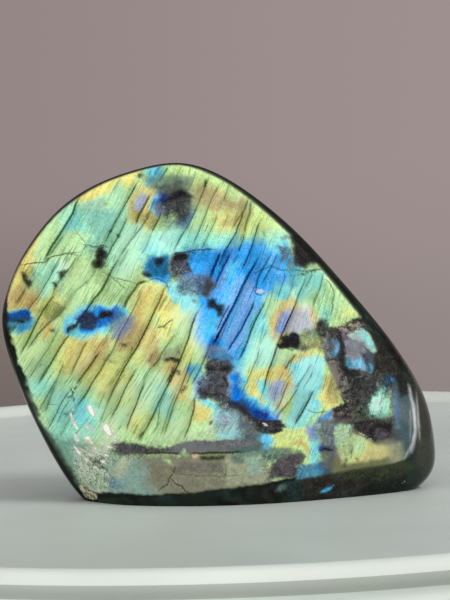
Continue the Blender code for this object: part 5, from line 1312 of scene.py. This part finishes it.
def mark_stone(mesh):
    """Work out the marks on every vertex and keep them on the mesh."""
    noise.seed_set(NOISE_SEED)
    places = vertex_values(mesh, "co").astype(float) / MM
    at = places[:, [0, 2]].T
    x, z = at
    none = np.zeros(x.shape)
    facing = -vertex_values(mesh, "normal")[:, 1]
    front = smooth_step(facing, 0.06, 0.30) * smooth_step(places[:, 1], 4.0, 1.0)
    face = face_share(x, z) * front

    # Noise moves the places a little, so that the borders of the marks look natural.
    wide = noise_field(x, z, 5.0, 1.0)
    tight = noise_field(x, z, 1.9, 2.0)
    small = noise_field(x, z, 0.9, 3.0)
    calm = 1.0 - 0.75 * np.maximum(smooth_step(x, 24.0, 29.0), smooth_step(z, 20.0, 16.5))
    soft = at + calm * (0.9 * wide + 0.8 * tight) + 0.3 * small
    long, other = noise_field(across_of(x, z), 0.06 * z, 1.5, 6.0)
    slid = soft + np.outer(CLEAVAGE_WAY, calm * (0.9 * long + 0.3 * other))

    flash = painted(*slid, np.tile(flash_at(PLAIN_HUE), (len(x), 1)), HUES, flash_at)
    glow = painted(*soft, face, GLOWS) * face
    glow = painted(*soft, glow, BEVEL_GLOWS) * front
    back_colours, back_glow = back_flash(places)
    flash = blend(flash, back_colours, smooth_step(places[:, 1], 2.0, 5.0))
    body = body_colours(places, soft, face, front)
    # Painted highlights: the pale streaks on the rolled edge, mixed into the body colour below.
    roll = painted(x + 0.15 * tight[0], z, none, PAINTED_ROLL_HIGHLIGHTS) * front
    grain = painted(*soft, none, GRAINS) * front + 0.45 * (1.0 - front)
    add_values(mesh, "flash_colour", *flash.T)
    add_values(mesh, "body_colour", *blend(body, tone_of(ROLL_HIGHLIGHT_COLOUR), 0.8 * roll).T)
    add_values(mesh, "levels", np.maximum(glow, back_glow), painted(*slid, none, SHADES) * face, grain)

    ink = solidity(*(at + 0.3 * tight + 0.3 * small), INCLUSIONS, 1.3) * front
    # Light flecks and painted glints: those at the lower left and on the bevel at the lower right are painted
    # highlights.
    fleck_and_glint = solidity(*(at + 0.2 * small), FLECKS_AND_GLINTS, 0.35) * front
    add_values(mesh, "spots", ink, fleck_and_glint, chip_corner(mesh, x, z, front))

    line_x = x + 0.22 * wide[0] + 0.08 * tight[0]
    groups = [line_values(line_x, z, lines) for lines in spread_groups(STREAKS, 6)]
    for name, trio in (("streaks_a", groups[:3]), ("streaks_b", groups[3:])):
        add_values(mesh, name, *(offset for offset, _ in trio))
        add_values(mesh, name + "_dark", *(dark * face for _, dark in trio))
    crack, crack_dark = line_values(*(at + 0.3 * tight), CRACKS)
    add_values(mesh, "crack", crack, crack_dark * front, line_shade(line_x, z, STREAKS))
    add_values(mesh, "flow", across_of(x + 0.5 * wide[0], z), face, front)


class Shading:
    """Short calls that add nodes to one material and join them."""

    def __init__(self, tree):
        self.tree = tree

    def node(self, kind, inputs=(), **settings):
        made = self.tree.nodes.new(kind)
        for name, value in settings.items():
            setattr(made, name, value)
        for key, value in dict(inputs).items():
            self.feed(made.inputs[key], value)
        return made

    def feed(self, socket, value):
        if isinstance(value, bpy.types.NodeSocket):
            self.tree.links.new(value, socket)
        else:
            socket.default_value = value

    def values(self, name):
        """Return the three values that the mesh keeps under a name."""
        return self.node("ShaderNodeSeparateXYZ", {0: self.colour(name)}).outputs

    def colour(self, name):
        """Return the colour that the mesh keeps under a name."""
        return self.node("ShaderNodeAttribute", attribute_name=name).outputs["Vector"]

    def math(self, operation, a, b=0.0, c=0.0, clamp=False):
        made = self.node("ShaderNodeMath", {0: a, 1: b, 2: c}, operation=operation, use_clamp=clamp)
        return made.outputs[0]

    def times(self, first, second, clamp=False):
        return self.math("MULTIPLY", first, second, clamp=clamp)

    def total(self, start, *parts):
        """Return the start plus each part times its amount."""
        for part, amount in parts:
            start = self.math("MULTIPLY_ADD", part, amount, start)
        return start

    def step(self, value, low, high, start=0.0, end=1.0):
        """Return a smooth change from start to end as the value goes from low to high."""
        made = self.node(
            "ShaderNodeMapRange", {"Value": value, "From Min": low, "From Max": high, "To Min": start,
                                   "To Max": end}, interpolation_type="SMOOTHSTEP")
        return made.outputs["Result"]

    def mix(self, share, first, second, blend="MIX"):
        made = self.node("ShaderNodeMix", data_type="RGBA", blend_type=blend)
        self.feed(made.inputs["Factor"], share)
        self.feed(made.inputs[6], first)
        self.feed(made.inputs[7], second)
        return made.outputs[2]

    def join(self, x, y, z=0.0):
        return self.node("ShaderNodeCombineXYZ", {0: x, 1: y, 2: z}).outputs[0]

    def noise(self, vector, scale, detail=2.0, roughness=0.5, distortion=0.0):
        """Return a noise of about -1 to 1."""
        made = self.node(
            "ShaderNodeTexNoise", {"Vector": vector, "Scale": scale, "Detail": detail,
                                   "Roughness": roughness, "Distortion": distortion})
        return self.math("MULTIPLY_ADD", made.outputs["Fac"], 5.0, -2.5)


def stone_material():
    """The stone's colour, lustre and fine relief, from the values that its mesh keeps."""
    material = bpy.data.materials.new("polished_labradorite")
    material.use_nodes = True
    shader = material.node_tree.nodes["Principled BSDF"]
    s = Shading(material.node_tree)
    glow, shade, grain = s.values("levels")
    crack, crack_dark, haze = s.values("crack")
    across, face, _ = s.values("flow")

    place = s.node("ShaderNodeTexCoord").outputs["Object"]
    place = s.node("ShaderNodeVectorMath", {0: place, "Scale": 1.0 / MM}, operation="SCALE").outputs[0]
    height = s.node("ShaderNodeSeparateXYZ", {0: place}).outputs[2]
    fine = s.noise(place, 1.1, 3.0, 0.65)
    speck = s.noise(place, 2.6, 2.0, 0.6)
    cloud = s.noise(place, 0.25, 3.0, 0.6)
    lamella = s.join(across, s.times(height, 0.06))
    band = s.noise(lamella, 0.5, 3.0, 0.7)
    thread = s.noise(lamella, 1.7, 2.0, 0.6)
    hair = s.noise(s.join(across, s.times(height, 0.035)), 3.4, 2.0, 0.6)

    streak = streak_mask(s, speck, thread)
    threads = s.times(s.step(thread, 0.25, 0.75), s.step(cloud, -0.5, 0.6, 0.15, 0.65))
    hairs = s.times(s.step(hair, 0.3, 0.9), s.step(cloud, 0.5, -0.6, 0.2, 0.7))
    streak = s.math("MAXIMUM", streak, s.math("MAXIMUM", threads, hairs))

    flash = flash_colour(s, shade, haze, streak, band, thread, fine, speck)
    body = body_colour(s, place, grain, fine, cloud, speck)
    strength = s.math("ADD", glow, s.times(fine, s.total(0.05, (grain, 0.24))))
    strength = s.times(s.step(strength, 0.08, 0.92), s.step(glow, 0.0, 0.15))
    colour = s.mix(strength, body, flash)
    veins = s.times(grain_veins(s, place, fine), grain)
    colour = s.mix(s.times(veins, s.step(strength, 1.0, 0.3, 0.2, 0.85)), colour, linear(VEIN_COLOUR))
    cracks = s.total(s.math("ABSOLUTE", crack), (speck, 0.5))
    cracks = s.times(s.step(cracks, 1.4, 0.3), crack_dark)
    colour = s.mix(cracks, colour, linear(CRACK_COLOUR))
    colour, black, rough_floor = add_spots(s, colour, fine, speck)
    s.feed(shader.inputs["Base Color"], colour)

    satin = s.times(s.math("SUBTRACT", 1.0, face), s.step(height, 30.0, 46.0))
    s.feed(shader.inputs["Roughness"],
           s.total(POLISH, (black, 0.16), (grain, 0.06), (rough_floor, 0.4), (satin, 0.35)))
    shader.inputs["Specular IOR Level"].default_value = SPECULAR_LEVEL
    relief = s.total(0.0, (streak, -0.02), (cracks, -0.10), (s.times(black, fine), 0.03), (veins, -0.05),
                     (s.times(fine, rough_floor), 0.15))
    bump = s.node("ShaderNodeBump", {"Height": relief, "Distance": MM, "Strength": 0.6})
    s.feed(shader.inputs["Normal"], bump.outputs["Normal"])
    return material


def streak_mask(s, speck, thread):
    """The dark cleavage lines, from the distance to the nearest line of each of six groups."""
    mask = None
    for name in ("streaks_a", "streaks_b"):
        for offset, dark in zip(s.values(name), s.values(name + "_dark")):
            reach = s.total(s.math("ABSOLUTE", offset), (speck, 0.25))
            line = s.times(s.step(reach, 0.98, 0.36), dark)
            mask = line if mask is None else s.math("MAXIMUM", mask, line)
    return s.times(mask, s.step(thread, -0.8, 0.4, 0.85, 1.2), clamp=True)


def flash_colour(s, shade, haze, streak, band, thread, fine, speck):
    """The colour of the flash: its hue, changed a little from lamella to lamella, and its lines."""
    turn = s.total(0.5, (band, 0.014))
    colour = s.node("ShaderNodeHueSaturation", {"Hue": turn, "Color": s.colour("flash_colour")}).outputs[0]
    lines = s.node("ShaderNodeGamma", {"Color": colour, "Gamma": 2.7}).outputs[0]
    lines = s.mix(1.0, lines, (0.13, 0.13, 0.13, 1.0), "MULTIPLY")
    lift = s.total(s.math("SUBTRACT", shade, 0.05), (band, 0.15), (thread, 0.12), (speck, 0.16), (fine, 0.11))
    colour = s.mix(s.times(lift, 0.9, clamp=True), colour, linear(PALE_FLASH))
    for share in (s.times(lift, -1.2, clamp=True), s.times(haze, 0.85), s.times(streak, 0.95)):
        colour = s.mix(share, colour, lines)
    return colour


def body_colour(s, place, grain, fine, cloud, speck):
    """The dark, mostly green and grey stone where it doesn't flash."""
    patches = s.noise(place, 0.7, 3.0, 0.65, 0.5)
    moved = s.node("ShaderNodeVectorMath", {0: place, 1: s.join(fine, fine, fine)}).outputs[0]
    facets = s.node("ShaderNodeTexVoronoi", {"Vector": moved, "Scale": 0.9})
    facets = s.node("ShaderNodeSeparateColor", {0: facets.outputs["Color"]}).outputs[0]
    rough = s.total(-0.45, (facets, 0.9), (patches, 0.35))
    change = s.total(1.0, (rough, grain), (cloud, 0.08), (fine, 0.10), (speck, 0.10))
    change = s.math("MAXIMUM", change, 0.2)
    colour = s.node("ShaderNodeHueSaturation", {"Value": change, "Color": s.colour("body_colour")}).outputs[0]
    tint = s.times(s.step(s.noise(place, 0.3), 0.3, 1.3, 0.0, 0.5), grain)
    colour = s.mix(tint, colour, s.mix(0.5, colour, linear(GRAIN_TINT)))
    light = s.times(s.step(speck, 0.5, 1.5), s.times(grain, 0.35))
    return s.mix(light, colour, linear(GRAIN_LIGHT))


def grain_veins(s, place, fine):
    """Irregular dark veins between grains, from the places where two noises cross their middle."""
    wide = s.math("ABSOLUTE", s.noise(place, 0.42, 3.0, 0.6, 0.6))
    small = s.math("ABSOLUTE", s.noise(place, 0.95, 2.0, 0.6, 0.8))
    width = s.step(fine, -0.8, 0.8, 0.04, 0.34)
    wide = s.step(s.math("DIVIDE", wide, width), 1.3, 0.3)
    small = s.step(s.math("DIVIDE", small, width), 1.2, 0.3, 0.0, 0.7)
    return s.math("MAXIMUM", wide, small)


def add_spots(s, colour, fine, speck):
    """Lay the inclusions, the flecks with their painted glints, and the broken corner over the colour."""
    ink, fleck_and_glint, chip = s.values("spots")
    black = s.times(s.step(s.total(ink, (fine, 0.12)), 0.22, 0.62), s.step(ink, 0.1, 0.9, 0.7, 1.0))
    colour = s.mix(black, colour, s.mix(s.step(speck, 0.1, 0.9, 0.0, 0.7), *map(linear, INCLUSION_COLOURS)))
    # Flecks and painted glints; the brilliant ones are painted highlights and take the whiter colour.
    light = s.total(fleck_and_glint, (speck, s.step(fleck_and_glint, 0.05, 0.25, 0.0, 0.24)))
    brilliant_glint = s.step(s.total(fleck_and_glint, (speck, 0.1)), 0.72, 0.95)
    colour = s.mix(s.step(light, 0.36, 0.62, 0.0, 0.9), colour,
                   s.mix(brilliant_glint, *map(linear, FLECK_AND_GLINT_COLOURS)))
    rough_floor = s.step(s.total(chip, (fine, 0.15)), 0.45, 0.8)
    broken = s.mix(s.step(fine, -0.5, 0.7), *map(linear, BROKEN_COLOURS))
    return s.mix(rough_floor, colour, broken), black, rough_floor


def make_stone():
    mesh = fine_stone_mesh()
    mark_stone(mesh)
    mesh.materials.append(stone_material())
    stone = bpy.data.objects.new("labradorite_fine", mesh)
    bpy.context.scene.collection.objects.link(stone)
    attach(stone, "root")
    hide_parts(NODE_NAME)


def make_camera():
    """The camera looks along +Y, a little down, and is rolled a little."""
    pitch = math.radians(-CAMERA_PITCH)
    roll = math.radians(CAMERA_ROLL)
    forward = Vector((0.0, math.cos(pitch), math.sin(pitch)))
    level = Vector((1.0, 0.0, 0.0))
    upright = level.cross(forward)
    right = level * math.cos(roll) - upright * math.sin(roll)
    up = level * math.sin(roll) + upright * math.cos(roll)
    lens = bpy.data.cameras.new("camera")
    lens.lens = CAMERA_LENS
    lens.sensor_width = 36.0
    lens.sensor_fit = "AUTO"
    lens.clip_start = 0.01
    lens.clip_end = 20.0
    camera = bpy.data.objects.new("camera", lens)
    turn = Matrix((right, up, -forward)).transposed()
    camera.matrix_world = Matrix.Translation(Vector(EYE) * MM) @ turn.to_4x4()
    bpy.context.scene.collection.objects.link(camera)
    bpy.context.scene.camera = camera


def plate_material(name, colour, roughness):
    material = bpy.data.materials.new(name)
    material.use_nodes = True
    shader = material.node_tree.nodes["Principled BSDF"]
    s = Shading(material.node_tree)
    cloudy = s.noise(s.node("ShaderNodeTexCoord").outputs["Object"], 14.0, 4.0, 0.6)
    dark = tuple(part * 0.92 for part in colour)
    s.feed(shader.inputs["Base Color"], s.mix(s.step(cloudy, -0.75, 0.75), (*dark, 1.0), (*colour, 1.0)))
    shader.inputs["Roughness"].default_value = roughness
    return material


def make_plate():
    """The pale round plate that serves as the floor."""
    plate = bmesh.new()
    middle = plate.verts.new((0, 0, 0))
    turns = [2 * math.pi * k / PLATE_STEPS for k in range(PLATE_STEPS)]
    rings = [[plate.verts.new((radius * math.cos(t), radius * math.sin(t), height)) for t in turns]
             for radius, height in PLATE_PROFILE]
    for k in range(PLATE_STEPS):
        plate.faces.new((middle, rings[0][k], rings[0][(k + 1) % PLATE_STEPS]))
    for (radius, _), inner, outer in zip(PLATE_PROFILE, rings, rings[1:]):
        for k in range(PLATE_STEPS):
            n = (k + 1) % PLATE_STEPS
            part = plate.faces.new((inner[k], outer[k], outer[n], inner[n]))
            part.material_index = 0 if radius < LIP_START else 1 if radius < LIP_END else 2
    for part in plate.faces:
        part.smooth = True
    mesh = bpy.data.meshes.new("plate")
    plate.to_mesh(mesh)
    plate.free()
    mesh.transform(Matrix.Translation((PLATE_MIDDLE[0] * MM, PLATE_MIDDLE[1] * MM, 0)) @ Matrix.Scale(MM, 4))
    for look in PLATE_LOOKS:
        mesh.materials.append(plate_material(*look))
    floor = bpy.data.objects.new("plate", mesh)
    bpy.context.scene.collection.objects.link(floor)
    floor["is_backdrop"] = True


def make_world():
    """A plain mauve-grey surround, with painted shade low down and to the left, and dark high up behind."""
    world = bpy.data.worlds.new("surround")
    world.use_nodes = True
    bpy.context.scene.world = world
    s = Shading(world.node_tree)
    direction = s.node("ShaderNodeTexCoord").outputs["Generated"]
    side, behind, up = s.node("ShaderNodeSeparateXYZ", {0: direction}).outputs
    side = s.step(side, -0.11, 0.11)
    low, high = (s.mix(side, *pair) for pair in SURROUND_COLOURS)
    colour = s.mix(s.step(up, -0.13, -0.01), low, high)
    dark = s.times(s.step(up, 0.10, 0.26), s.step(behind, 0.05, 0.35))
    background = world.node_tree.nodes["Background"]
    s.feed(background.inputs["Color"], s.mix(dark, colour, SURROUND_DARK))
    background.inputs["Strength"].default_value = 1.0


def add_lamp(name, place, width, height, power, colour, mirrored):
    """Add a soft rectangular lamp that looks at the stone's middle, with its sizes in millimetres."""
    data = bpy.data.lights.new(name, "AREA")
    data.shape = "RECTANGLE"
    data.size = width * MM
    data.size_y = height * MM
    data.energy = power
    data.color = colour
    lamp = bpy.data.objects.new(name, data)
    way = Vector(LAMP_TARGET) - Vector(place)
    lamp.rotation_euler = way.to_track_quat("-Z", "Y").to_euler()
    lamp.location = Vector(place) * MM
    lamp.visible_glossy = mirrored
    bpy.context.scene.collection.objects.link(lamp)


def main():
    make_camera()
    make_stone()
    make_plate()
    make_world()
    for lamp in LAMPS:
        add_lamp(*lamp)
    bpy.context.scene.view_settings.view_transform = "Standard"


main()
